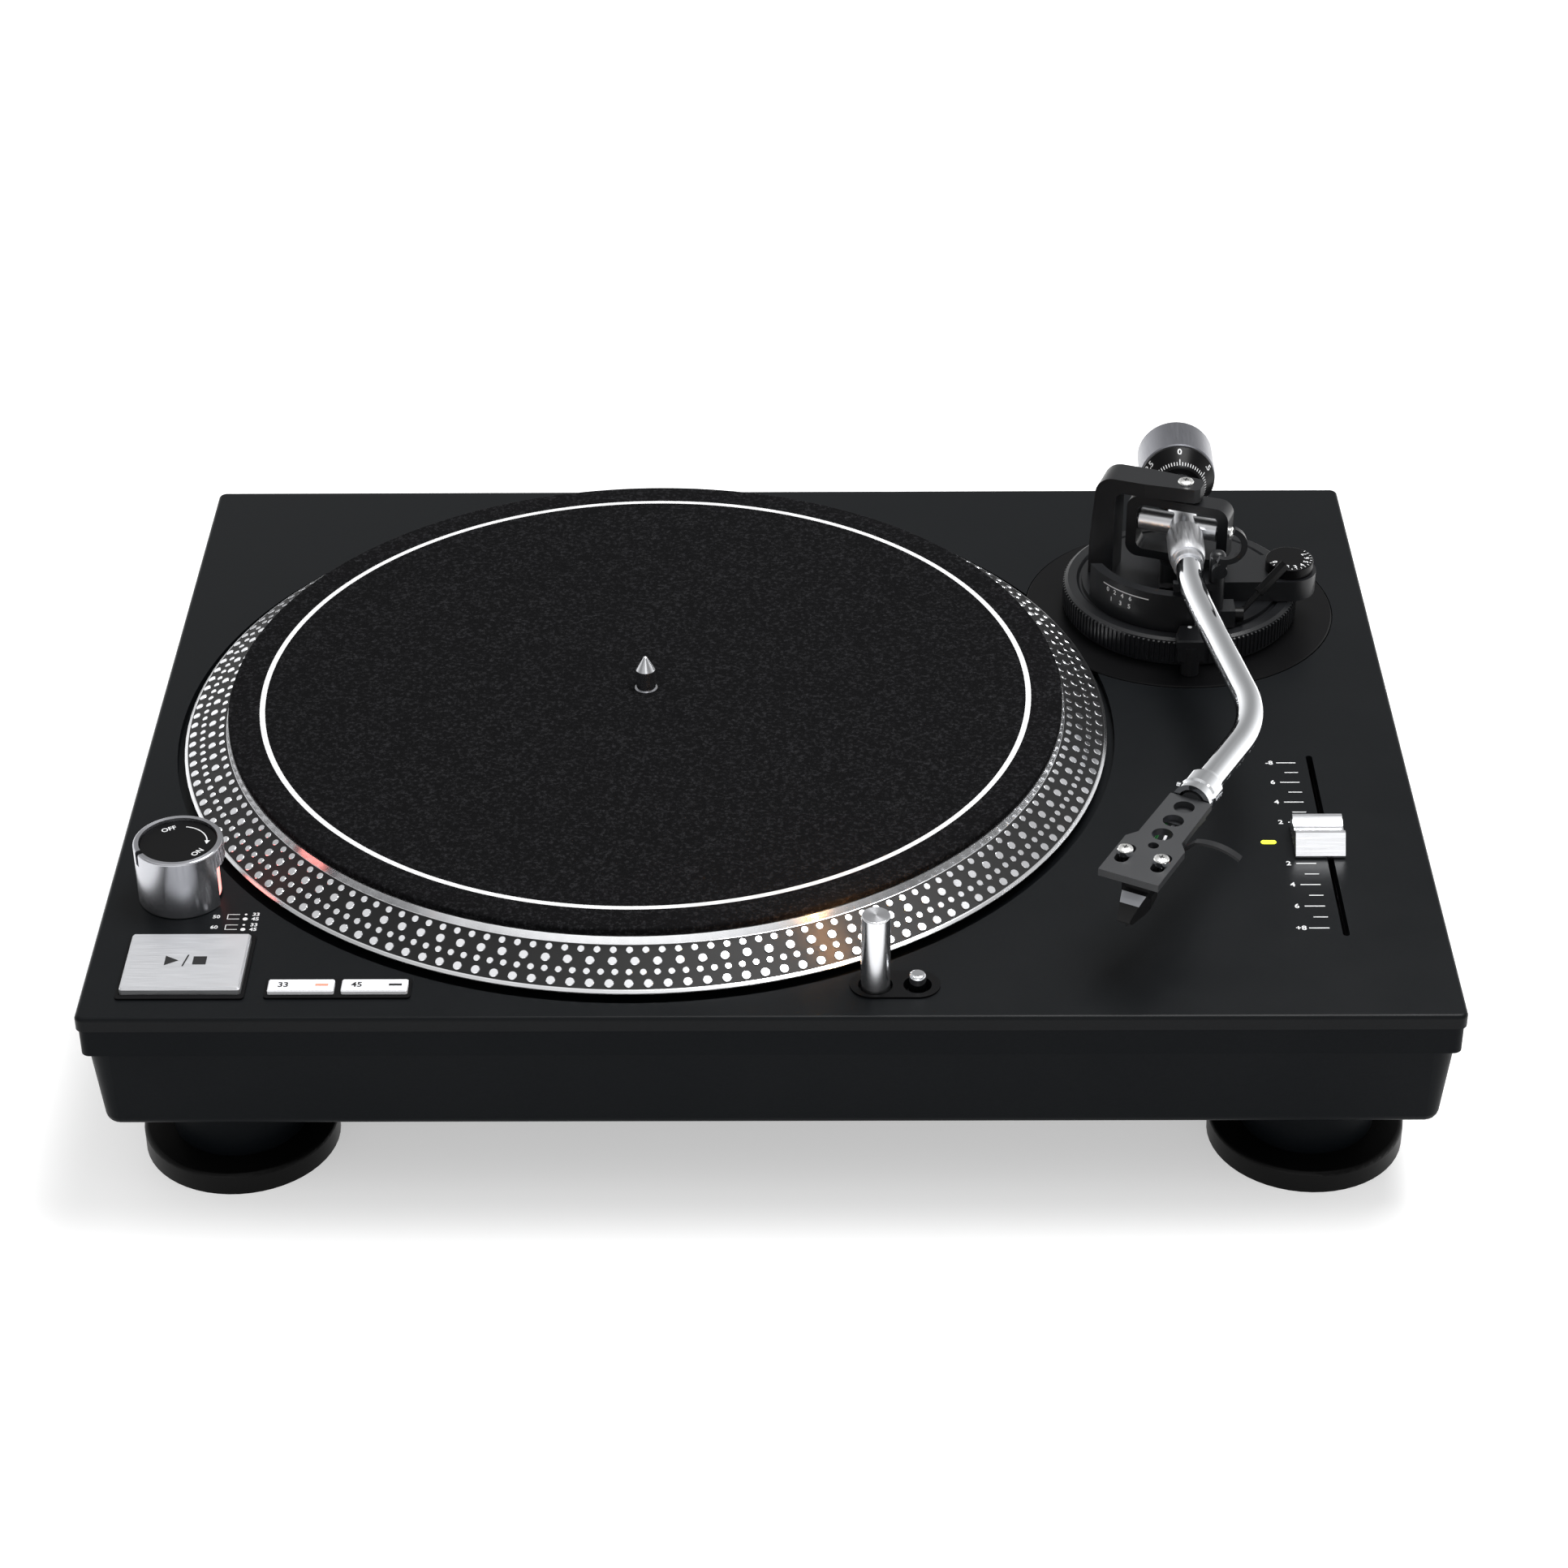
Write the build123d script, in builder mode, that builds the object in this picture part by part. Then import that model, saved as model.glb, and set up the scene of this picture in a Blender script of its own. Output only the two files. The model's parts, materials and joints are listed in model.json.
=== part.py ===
"""Direct-drive record player: case, motor, platter, controls and an S-shaped tonearm.

Millimetres. The origin is on the floor under the middle of the deck, +Z up, +Y to the back.
Heights called "above the deck" are added to deck_top by the function above().
"""
import os
from math import cos, radians, sin

from build123d import *

# Case
deck_width = 450.0
deck_depth = 352.0
deck_top = 80.0
deck_thickness = 5.2
deck_corner = 3.0
deck_edge = 1.4
band_height = 10.3
band_inset = 0.7
band_wall = 14.0
base_inset = 1.7
base_taper = 5.5
base_wall = 3.0
base_corner = 8.0
base_edge = 4.0
foot_clearance = 32.0
case_screw_side = (213.5, 60.0)
case_screw_front = (110.0, 164.5)
case_screw_radius = 2.0
case_screw_depth = 3.4
boss_radius = 4.2

# Feet
foot_place = (182.0, 134.5)
foot_radius = 33.2
foot_pad_height = 8.4
foot_neck_radius = 23.0
foot_seat_depth = 4.0
foot_screw_radius = 2.5

# Platter and motor
platter_center = (-46.0, 1.0)
platter_radius = 166.2
platter_lip_bottom = 0.9
platter_lip_top = 2.4
strobe_width = 15.6
strobe_inner_radius = platter_radius - strobe_width
strobe_inner_height = 10.2
platter_top = 12.9
platter_slope = 0.6
platter_plate = 5.0
platter_hub_radius = 22.0
platter_hub_drop = 3.7
mat_inset = 0.3
mat_radius = strobe_inner_radius - platter_slope - mat_inset
mat_thickness = 2.6
well_gap = 2.8
well_radius = platter_radius + well_gap
well_depth = 3.2
motor_opening = 64.0
motor_board_radius = 76.0
motor_board_thickness = 1.6
motor_screw_circle = 70.0
motor_screw_radius = 1.5
coil_count = 9
coil_circle = 42.0
coil_radius = 9.0
coil_height = 3.4
magnet_radius = 58.0
magnet_bore = 28.0
spindle_radius = 3.55
spindle_seat_radius = 4.1
spindle_shaft_radius = 4.6
spindle_tip_height = 28.6
spindle_cone = 5.3
spindle_flange_radius = 14.0
spindle_flange = 3.0
bearing_length = 35.0
bearing_radius = 11.0
bush_radius = 6.0

# Controls
start_center = (-192.2, -148.0)
start_bezel_size = (42.1, 35.4)
start_button_size = (39.4, 31.0)
start_button_height = 3.0
speed_center = (-140.9, -160.2)
speed_bezel_size = (47.8, 10.4)
speed_button_size = (21.6, 6.6)
speed_pitch = 24.0
speed_button_height = 2.0
bezel_proud = 0.6
tray_floor = 1.0
button_thickness = 4.4
press_travel = 1.5
plunger_radius = 2.0
knob_center = (-199.0, -105.5)
knob_radius = 15.1
knob_height = 22.0
knob_wall = 1.9
knob_cap_sink = 1.2
knob_stem_radius = 7.6
power_switch_wall = 3.0
knob_notch = (2.2, 5.0)
knob_notch_angle = 212.0
strobe_angle = 25.0
strobe_window = (18.0, 14.0)
light_center = (34.2, -159.0)
light_radius = 4.8
light_height = 28.5
light_length = 41.0
light_travel = 26.0
light_button_center = (47.9, -159.0)
light_button_radius = 2.85
light_button_height = 5.2
light_bezel_size = (29.6, 14.6)
light_bezel_center = (40.6, -158.5)
fader_center = (191.0, -76.6)
fader_slot = (2.3, 110.0)
fader_travel = 50.0
fader_knob_size = (17.0, 20.0, 7.6)
fader_knob_offset = -3.4
fader_body_size = (9.0, 130.0, 7.5)
lamp_center = (170.9, -76.5)
lamp_size = (5.4, 2.2)

# Tonearm base
arm_pivot = (153.4, 82.4)
arm_axis_height = 36.0
arm_board_radius = 57.9
arm_board_proud = 0.5
arm_board_seat = 1.6
guide_radius = 24.0
guide_top = 10.0
ring_radius = 43.6
ring_top = 12.0
base_radius = 37.1
base_height = 26.5
base_floor = 15.0
base_rim = 4.0
arm_lift_travel = 6.0
bearing_yaw = 20.0
yoke_top = 54.0
yoke_bar = 5.6
yoke_left = -33.0
yoke_column = 8.0
yoke_right = 6.5
yoke_width = 12.5
yoke_corner = 7.0
gimbal_left = -21.0
gimbal_right = 18.0
gimbal_bottom = 22.0
gimbal_top = 47.4
gimbal_wall = 4.0
gimbal_thickness = 8.4
pivot_radius = 1.5
skate_center = (40.0, -6.3)
skate_block_radius = 10.2
skate_block_top = 20.7
skate_dial_radius = 8.9
skate_dial_height = 4.3
rest_post = (9.8, -32.0)
rest_post_radius = 3.0
rest_top = 43.0
lock_place = (0.0, -47.9)
lock_post_radius = 1.6
lock_boss_radius = 3.4
lock_height = 15.6
lock_plate = 3.2
lock_lip_bottom = 6.8
cue_post = (-8.0, -28.5)
cue_bar_top = 26.4
cue_lever_pivot = (17.4, -31.0, 15.4)
cue_lever_tip = (35.6, -21.5, 30.4)

# Tonearm
arm_headings = (1.5, -9.6, 28.0)
arm_runs = (46.2, 91.2, 59.3)
arm_bends = (150.0, 52.0)
tube_radius = 4.8
tube_wall = 0.8
tube_start = 15.0
barrel_front = 27.0
barrel_radius = 6.8
barrel_waist = 5.4
cross_shaft_radius = 4.2
ferrule_length = 4.0
rear_shaft_radius = 5.0
rear_shaft_end = 60.0
weight_front = 37.0
weight_length = 19.5
weight_radius = 14.4
dial_length = 9.0
dial_front_radius = 9.4
sleeve_radius = 6.5
weight_travel = 4.0
collar_wall = 1.9
collar_radius = tube_radius + collar_wall
collar_length = 13.5
headshell_length = 51.8
headshell_back = 14.8
headshell_front = 21.0
headshell_top = 2.0
headshell_thickness = 2.6
headshell_shoulder = (26.0, 30.0)
headshell_hole_radius = 3.5
headshell_holes = (6.0, 15.0, 24.0)
cartridge_pitch = 12.7
cartridge_screw_place = 39.7
cartridge_height = 6.5
cartridge_width = 10.0
nose_length = 9.4
nose_drop = 6.1
stylus_drop = 18.0
lead_radius = 0.5

# Fits
running = 0.06
seat_gap = 0.1
touch_gap = 0.02
panel_gap = 0.4

# Working planes and points
deck_bottom = deck_top - deck_thickness
band_bottom = deck_bottom - band_height
floor_top = foot_clearance + base_wall
board_top = deck_bottom
well_floor = deck_top - well_depth


def above(height):
    """Height from the floor of a point that many millimetres above the deck."""
    return deck_top + height


def heading(angle):
    """Level direction turned by an angle from straight forward (-Y) towards the left (-X)."""
    return Vector(-sin(radians(angle)), -cos(radians(angle)), 0)


def from_pivot(x, y, height):
    """Point beside the tonearm pivot, at a height above the deck."""
    return Vector(arm_pivot[0] + x, arm_pivot[1] + y, above(height))


def level(center, height):
    """Level plane at a height above the deck, centred on a point of the deck."""
    return Plane(origin=(center[0], center[1], above(height)))


def upright(center):
    """Upright plane through a point of the deck: local x is +X and local y is +Z from the floor."""
    return Plane(origin=(center[0], center[1], 0), x_dir=(1, 0, 0), z_dir=(0, -1, 0))


def turned(center, points):
    """Solid of revolution about the upright line through a point of the deck."""
    with BuildPart() as body:
        with BuildSketch(upright(center)):
            with BuildLine():
                Polyline(*points, close=True)
            make_face()
        revolve(axis=Axis((center[0], center[1], 0), (0, 0, 1)))
    return body


arm_point = from_pivot(0, 0, arm_axis_height)
arm_forward = heading(arm_headings[0])
bearing_u = Vector(cos(radians(bearing_yaw)), -sin(radians(bearing_yaw)), 0)
bearing_v = Vector(sin(radians(bearing_yaw)), cos(radians(bearing_yaw)), 0)
bearing_face = Plane(origin=from_pivot(0, 0, 0), x_dir=bearing_u, z_dir=bearing_v * -1)
bearing_plan = Plane(origin=from_pivot(0, 0, 0), x_dir=bearing_u, z_dir=(0, 0, 1))
cross_axis = Plane(origin=arm_point, x_dir=(0, 0, 1), z_dir=bearing_u)
arm_side = Plane(origin=arm_point, x_dir=arm_forward, z_dir=arm_forward.cross(Vector(0, 0, 1)))
arm_axis = Axis(arm_point, arm_forward)

first_bend = arm_point + arm_forward * arm_runs[0]
second_bend = first_bend + heading(arm_headings[1]) * arm_runs[1]
shell_forward = heading(arm_headings[2])
shell_back = second_bend + shell_forward * arm_runs[2]
shell_plan = Plane(origin=shell_back, x_dir=shell_forward, z_dir=(0, 0, 1))
shell_side = Plane(origin=shell_back, x_dir=shell_forward,
                   z_dir=shell_forward.cross(Vector(0, 0, 1)))
shell_axis = Axis(shell_back, shell_forward)
shell_top_z = headshell_top
shell_under_z = headshell_top - headshell_thickness

case_screws_xy = [(x, y) for x in (-case_screw_side[0], case_screw_side[0])
                  for y in (-case_screw_side[1], case_screw_side[1])]
case_screws_xy += [(case_screw_front[0], y) for y in (-case_screw_front[1], case_screw_front[1])]
feet_xy = [(x, y) for x in (-foot_place[0], foot_place[0]) for y in (-foot_place[1], foot_place[1])]

# Deck plate, with the platter well and every opening of the controls
with BuildPart() as deck_plate:
    with BuildSketch(Plane.XY.offset(deck_bottom)):
        RectangleRounded(deck_width, deck_depth, deck_corner)
    extrude(amount=deck_thickness)
    fillet(deck_plate.faces().sort_by(Axis.Z)[-1].edges(), deck_edge)
    with BuildSketch(level(platter_center, 0)):
        Circle(well_radius)
    extrude(amount=-well_depth, mode=Mode.SUBTRACT)
    with BuildSketch(level(arm_pivot, 0)):
        Circle(arm_board_radius + panel_gap)
    extrude(amount=-arm_board_seat, mode=Mode.SUBTRACT)
    with BuildSketch(Plane.XY.offset(deck_top)):
        with Locations(platter_center):
            Circle(motor_opening)
            with PolarLocations(motor_screw_circle, 3):
                Circle(motor_screw_radius + running)
        with Locations(arm_pivot):
            Circle(guide_radius + 1)
        with Locations(knob_center):
            Circle(knob_stem_radius + running)
        with Locations(start_center):
            Rectangle(start_bezel_size[0] - 1.2, start_bezel_size[1] - 1.2)
        with Locations(speed_center):
            Rectangle(speed_bezel_size[0] - 1.2, speed_bezel_size[1] - 1.2)
        with Locations(light_bezel_center):
            SlotOverall(light_bezel_size[0] - 1.2, light_bezel_size[1] - 1.2)
        with Locations(fader_center):
            SlotOverall(fader_slot[1], fader_slot[0], rotation=90)
        with Locations(lamp_center):
            SlotOverall(*lamp_size)
    extrude(amount=-deck_thickness, mode=Mode.SUBTRACT)
    with BuildSketch(Plane.XY.offset(deck_bottom)):
        with Locations(*case_screws_xy):
            Circle(case_screw_radius + running)
    extrude(amount=case_screw_depth, mode=Mode.SUBTRACT)

# Plinth band under the deck
band_width = deck_width - 2 * band_inset
band_depth = deck_depth - 2 * band_inset
with BuildPart() as plinth_band:
    with BuildSketch(Plane.XY.offset(band_bottom)):
        RectangleRounded(band_width, band_depth, deck_corner)
        Rectangle(band_width - 2 * band_wall, band_depth - 2 * band_wall, mode=Mode.SUBTRACT)
        with Locations(*case_screws_xy):
            Circle(case_screw_radius + running, mode=Mode.SUBTRACT)
    extrude(amount=band_height)
    with BuildSketch(Plane.XY.offset(band_bottom)):
        with Locations(light_bezel_center):
            SlotOverall(light_bezel_size[0] + 1, light_bezel_size[1] + 1)
    extrude(amount=band_height, mode=Mode.SUBTRACT)

# Base tub: tapered shell with screw bosses, board posts and two recessed rear panels
base_width = deck_width - 2 * base_inset
base_depth = deck_depth - 2 * base_inset
base_tall = band_bottom - foot_clearance
panel_face = 163.0
panel_height = 22.0
panel_middle = foot_clearance + base_tall / 2
inlet_x = -150.0
inlet_panel = 34.0
jack_x = 152.0
jack_panel = 62.0
jack_offsets = (-18.0, -2.0)
ground_offset = 18.0
jack_hole = 4.6
inlet_body = (27.0, 20.0, 22.0)
board_center = (-150.0, -118.0)
board_size = (104.0, 70.0)
board_post = (94.0, 60.0)
board_bottom = 60.0
transformer_center = (-150.0, 105.0)
transformer_size = (62.0, 44.0, 30.0)

with BuildPart() as base_tub:
    with BuildSketch(Plane.XY.offset(band_bottom)):
        RectangleRounded(base_width, base_depth, base_corner)
    extrude(amount=-base_tall, taper=base_taper)
    fillet(base_tub.faces().sort_by(Axis.Z)[0].edges(), base_edge)
    with BuildSketch(Plane.XY.offset(band_bottom)):
        RectangleRounded(base_width - 2 * base_wall, base_depth - 2 * base_wall, base_corner - base_wall)
    extrude(amount=-(base_tall - base_wall), taper=base_taper, mode=Mode.SUBTRACT)
    with BuildSketch(Plane.XY.offset(floor_top)):
        with Locations(*case_screws_xy):
            Circle(boss_radius)
    extrude(amount=band_bottom - floor_top)
    with BuildSketch(Plane.XY.offset(floor_top)):
        with Locations(board_center):
            with GridLocations(*board_post, 2, 2):
                Circle(3)
    extrude(amount=board_bottom - floor_top)
    for panel_x, panel_width in ((inlet_x, inlet_panel), (jack_x, jack_panel)):
        with Locations((panel_x, panel_face - base_wall, panel_middle)):
            Box(panel_width + 2 * base_wall, 12, panel_height + 2 * base_wall,
                align=(Align.CENTER, Align.MIN, Align.CENTER))
        with Locations((panel_x, panel_face, panel_middle)):
            Box(panel_width, 40, panel_height, align=(Align.CENTER, Align.MIN, Align.CENTER),
                mode=Mode.SUBTRACT)
    with Locations((inlet_x, panel_face, panel_middle)):
        Box(inlet_body[0] + 2 * touch_gap, 4 * base_wall, inlet_body[2] - 4 + 2 * touch_gap,
            mode=Mode.SUBTRACT)
    with BuildSketch(Plane(origin=(jack_x, panel_face, panel_middle), x_dir=(1, 0, 0), z_dir=(0, -1, 0))):
        with Locations((jack_offsets[0], 0), (jack_offsets[1], 0)):
            Circle(jack_hole)
        with Locations((ground_offset, 0)):
            Circle(2 + running)
    extrude(amount=2 * base_wall, mode=Mode.SUBTRACT)
    with Locations(*[(x, y, foot_clearance) for x, y in case_screws_xy]):
        CounterBoreHole(case_screw_radius + running, 3.8, 2.6, depth=base_tall * 2)
    with BuildSketch(Plane.XY.offset(foot_clearance)):
        with Locations(*feet_xy):
            Circle(foot_screw_radius + running)
    extrude(amount=base_wall, mode=Mode.SUBTRACT)

# Screws: six through the base into the deck, one into each foot, three at the motor
with BuildPart() as case_screws:
    with BuildSketch(Plane.XY.offset(foot_clearance + 0.4)):
        with Locations(*case_screws_xy):
            Circle(3.6)
    extrude(amount=2.1)
    with BuildSketch(Plane.XY.offset(foot_clearance + 2.5)):
        with Locations(*case_screws_xy):
            Circle(case_screw_radius)
    extrude(amount=deck_bottom + case_screw_depth - seat_gap - foot_clearance - 2.5)
    with BuildSketch(Plane.XY.offset(floor_top + touch_gap)):
        with Locations(*feet_xy):
            Circle(5)
    extrude(amount=3)
    with BuildSketch(Plane.XY.offset(floor_top + touch_gap)):
        with Locations(*feet_xy):
            Circle(foot_screw_radius)
    extrude(amount=-14)
    with BuildSketch(Plane.XY.offset(well_floor + touch_gap)):
        with Locations(platter_center):
            with PolarLocations(motor_screw_circle, 3):
                Circle(2.8)
    extrude(amount=1.6)
    with BuildSketch(Plane.XY.offset(well_floor + touch_gap)):
        with Locations(platter_center):
            with PolarLocations(motor_screw_circle, 3):
                Circle(motor_screw_radius)
    extrude(amount=-6)

# Feet: a necked housing screwed under the base, and a wide soft pad that takes its lower end
with BuildPart() as foot_housings:
    with BuildSketch(Plane.XY.offset(foot_seat_depth)):
        with Locations(*feet_xy):
            Circle(foot_neck_radius)
    extrude(amount=foot_clearance - foot_seat_depth)
    with BuildSketch(Plane.XY.offset(foot_clearance)):
        with Locations(*feet_xy):
            Circle(foot_screw_radius + running)
    extrude(amount=-12, mode=Mode.SUBTRACT)

with BuildPart() as foot_pads:
    with BuildSketch():
        with Locations(*feet_xy):
            Circle(foot_radius)
    extrude(amount=foot_pad_height)
    fillet(foot_pads.edges().filter_by(GeomType.CIRCLE).group_by(Axis.Z)[-1], 1.6)
    with BuildSketch(Plane.XY.offset(foot_seat_depth)):
        with Locations(*feet_xy):
            Circle(foot_neck_radius + touch_gap)
    extrude(amount=foot_pad_height, mode=Mode.SUBTRACT)

# Motor: stator board with coils, bearing and the parts that turn with the platter
with BuildPart() as motor_board:
    with BuildSketch(Plane.XY.offset(board_top)):
        with Locations(platter_center):
            Circle(motor_board_radius)
            Circle(bearing_radius + running, mode=Mode.SUBTRACT)
            with PolarLocations(motor_screw_circle, 3):
                Circle(motor_screw_radius + running, mode=Mode.SUBTRACT)
    extrude(amount=-motor_board_thickness)

with BuildPart() as stator_coils:
    with BuildSketch(Plane.XY.offset(board_top)):
        with Locations(platter_center):
            with PolarLocations(coil_circle, coil_count):
                Circle(coil_radius)
            with PolarLocations(coil_circle, coil_count):
                Circle(coil_radius / 2, mode=Mode.SUBTRACT)
    extrude(amount=coil_height)

bearing_top = deck_top - 1
bearing_bottom = bearing_top - bearing_length
board_under = board_top - motor_board_thickness
bearing_housing = turned(platter_center, [
    (0, bearing_bottom), (bearing_radius, bearing_bottom), (bearing_radius, board_under - 3),
    (18, board_under - 3), (18, board_under), (bearing_radius, board_under),
    (bearing_radius, bearing_top), (bush_radius, bearing_top), (bush_radius, bearing_bottom + 4),
    (0, bearing_bottom + 4)])

bearing_bush = turned(platter_center, [
    (spindle_shaft_radius + running, bearing_bottom + 6), (bush_radius - touch_gap, bearing_bottom + 6),
    (bush_radius - touch_gap, bearing_top), (spindle_shaft_radius + running, bearing_top)])

plate_under = above(platter_top - platter_plate)
hub_under = plate_under - platter_hub_drop
spindle_tip = above(spindle_tip_height)
mat_bottom = above(platter_top) + seat_gap
mat_top = mat_bottom + mat_thickness
spindle = turned(platter_center, [
    (0, bearing_bottom + 4 + seat_gap), (spindle_shaft_radius, bearing_bottom + 4 + seat_gap),
    (spindle_shaft_radius, hub_under - spindle_flange), (spindle_flange_radius, hub_under - spindle_flange),
    (spindle_flange_radius, hub_under), (spindle_seat_radius, hub_under),
    (spindle_seat_radius, mat_top), (spindle_radius, mat_top),
    (spindle_radius, spindle_tip - spindle_cone), (0.7, spindle_tip - 0.4), (0, spindle_tip)])

rotor_magnet = turned(platter_center, [
    (magnet_bore, board_top + coil_height + 1), (magnet_radius, board_top + coil_height + 1),
    (magnet_radius, plate_under), (magnet_bore, plate_under)])

platter = turned(platter_center, [
    (spindle_seat_radius + touch_gap, above(platter_top)),
    (strobe_inner_radius - platter_slope, above(platter_top)), (strobe_inner_radius, above(strobe_inner_height)),
    (platter_radius - 0.7, above(platter_lip_top)), (platter_radius, above(platter_lip_top - 0.6)),
    (platter_radius, above(platter_lip_bottom + 0.6)), (platter_radius - 0.7, above(platter_lip_bottom)),
    (platter_radius - 6, above(platter_lip_bottom)), (strobe_inner_radius - 4, plate_under),
    (platter_hub_radius, plate_under), (platter_hub_radius, hub_under),
    (spindle_seat_radius + touch_gap, hub_under)])

slipmat = turned(platter_center, [
    (spindle_seat_radius + seat_gap, mat_bottom), (mat_radius, mat_bottom),
    (mat_radius, mat_top - 0.6), (mat_radius - 0.6, mat_top), (spindle_seat_radius + seat_gap, mat_top)])

# Electronics inside the case
with BuildPart() as main_board:
    with BuildSketch(Plane(origin=(*board_center, board_bottom))):
        Rectangle(*board_size)
    extrude(amount=motor_board_thickness)
    switch_height = 3.2
    switch_top = board_bottom + motor_board_thickness + switch_height
    with Locations((start_center[0] + 4, start_center[1], board_bottom + motor_board_thickness)):
        Box(6, 6, switch_height, align=(Align.CENTER, Align.CENTER, Align.MIN))
    for side in (-0.5, 0.5):
        with Locations((speed_center[0] + side * speed_pitch, speed_center[1] + 9,
                        board_bottom + motor_board_thickness)):
            Box(6, 6, switch_height, align=(Align.CENTER, Align.CENTER, Align.MIN))
    with Locations((board_center[0] + 24, board_center[1] + 16, board_bottom + motor_board_thickness)):
        Box(12, 12, 2, align=(Align.CENTER, Align.CENTER, Align.MIN))
        with GridLocations(22, 0, 2, 1):
            Cylinder(3, 7, align=(Align.CENTER, Align.CENTER, Align.MIN))

with BuildPart() as power_transformer:
    with BuildSketch(Plane(origin=(*transformer_center, floor_top))):
        Rectangle(transformer_size[0] + 20, transformer_size[1] - 16)
    extrude(amount=2)
    with BuildSketch(Plane(origin=(*transformer_center, floor_top))):
        Rectangle(transformer_size[0], transformer_size[1])
    extrude(amount=transformer_size[2])
    with Locations((*transformer_center, floor_top + transformer_size[2] / 2)):
        Box(transformer_size[0] - 24, transformer_size[1] + 14, transformer_size[2] - 10)

inlet_depth = inlet_body[1]
with BuildPart() as mains_inlet:
    with Locations((inlet_x, panel_face + touch_gap, panel_middle)):
        Box(inlet_body[0] + 5, 2, inlet_body[2] - 1, align=(Align.CENTER, Align.MIN, Align.CENTER))
    with Locations((inlet_x, panel_face + 2 * touch_gap, panel_middle)):
        Box(inlet_body[0], inlet_depth, inlet_body[2] - 4, align=(Align.CENTER, Align.MAX, Align.CENTER))
    with Locations((inlet_x, panel_face + 3, panel_middle)):
        Box(inlet_body[0] - 5, inlet_depth - 1, inlet_body[2] - 9,
            align=(Align.CENTER, Align.MAX, Align.CENTER), mode=Mode.SUBTRACT)
    with Locations((inlet_x, panel_face - inlet_depth + 2, panel_middle)):
        with GridLocations(14, 0, 2, 1):
            Box(2, 12, 4, align=(Align.CENTER, Align.MIN, Align.CENTER))

jack_plane = Plane(origin=(jack_x, panel_face, panel_middle), z_dir=(0, 1, 0), x_dir=(-1, 0, 0))
with BuildPart() as phono_jacks:
    with BuildSketch(jack_plane.offset(touch_gap)):
        with Locations((-jack_offsets[0], 0), (-jack_offsets[1], 0)):
            Circle(6.4)
    extrude(amount=1.5)
    with BuildSketch(jack_plane.offset(touch_gap)):
        with Locations((-jack_offsets[0], 0), (-jack_offsets[1], 0)):
            Circle(4.15)
    extrude(amount=11.5)
    with BuildSketch(jack_plane.offset(touch_gap)):
        with Locations((-jack_offsets[0], 0), (-jack_offsets[1], 0)):
            Circle(4.4)
    extrude(amount=-8)
    with BuildSketch(jack_plane.offset(11.6)):
        with Locations((-jack_offsets[0], 0), (-jack_offsets[1], 0)):
            Circle(1.6)
    extrude(amount=-9, mode=Mode.SUBTRACT)

with BuildPart() as ground_terminal:
    with BuildSketch(jack_plane.offset(1)):
        with Locations((-ground_offset, 0)):
            RegularPolygon(4.6, 12)
    extrude(amount=5)
    with BuildSketch(jack_plane.offset(1)):
        with Locations((-ground_offset, 0)):
            Circle(2)
    extrude(amount=-9)

# Start button and speed buttons in their trays
tray_bottom = deck_bottom


def control_tray(center, size, openings, plungers):
    """Tray set flush in the deck with a thin flange on top and guides for the plungers."""
    with BuildPart() as tray:
        with BuildSketch(Plane(origin=(*center, tray_bottom))):
            Rectangle(size[0] - 1.2 - 2 * touch_gap, size[1] - 1.2 - 2 * touch_gap)
        extrude(amount=deck_thickness + touch_gap)
        with BuildSketch(level(center, touch_gap)):
            RectangleRounded(size[0], size[1], 1.2)
        extrude(amount=bezel_proud)
        for place, opening in openings:
            with BuildSketch(Plane(origin=(*place, tray_bottom + tray_floor))):
                RectangleRounded(opening[0] + panel_gap, opening[1] + panel_gap, 0.8)
            extrude(amount=deck_thickness + 2, mode=Mode.SUBTRACT)
        with BuildSketch(Plane(origin=(0, 0, tray_bottom))):
            with Locations(*plungers):
                Circle(plunger_radius + running)
        extrude(amount=tray_floor, mode=Mode.SUBTRACT)
    return tray


def push_button(center, size, height, plunger, bevel):
    """Button plate with a bevelled top and a plunger that reaches its switch."""
    with BuildPart() as button:
        with BuildSketch(level(center, height - button_thickness)):
            RectangleRounded(size[0], size[1], bevel + 0.3)
        extrude(amount=button_thickness)
        chamfer(button.faces().sort_by(Axis.Z)[-1].edges(), bevel)
        with BuildSketch(Plane(origin=(*plunger, above(height - button_thickness)))):
            Circle(plunger_radius)
        extrude(amount=-(above(height - button_thickness) - switch_top - press_travel - seat_gap))
    return button


start_plunger = (start_center[0] + 4, start_center[1])
speed_places = [(speed_center[0] + side * speed_pitch, speed_center[1]) for side in (-0.5, 0.5)]
speed_plungers = [(x, y + 1.2) for x, y in speed_places]
start_stop_bezel = control_tray(start_center, start_bezel_size, [(start_center, start_button_size)],
                                [start_plunger])
start_stop_button = push_button(start_center, start_button_size, start_button_height, start_plunger, 0.7)
speed_bezel = control_tray(speed_center, speed_bezel_size,
                           [(place, speed_button_size) for place in speed_places], speed_plungers)
speed_button_33 = push_button(speed_places[0], speed_button_size, speed_button_height,
                              speed_plungers[0], 0.4)
speed_button_45 = push_button(speed_places[1], speed_button_size, speed_button_height,
                              speed_plungers[1], 0.4)

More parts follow.
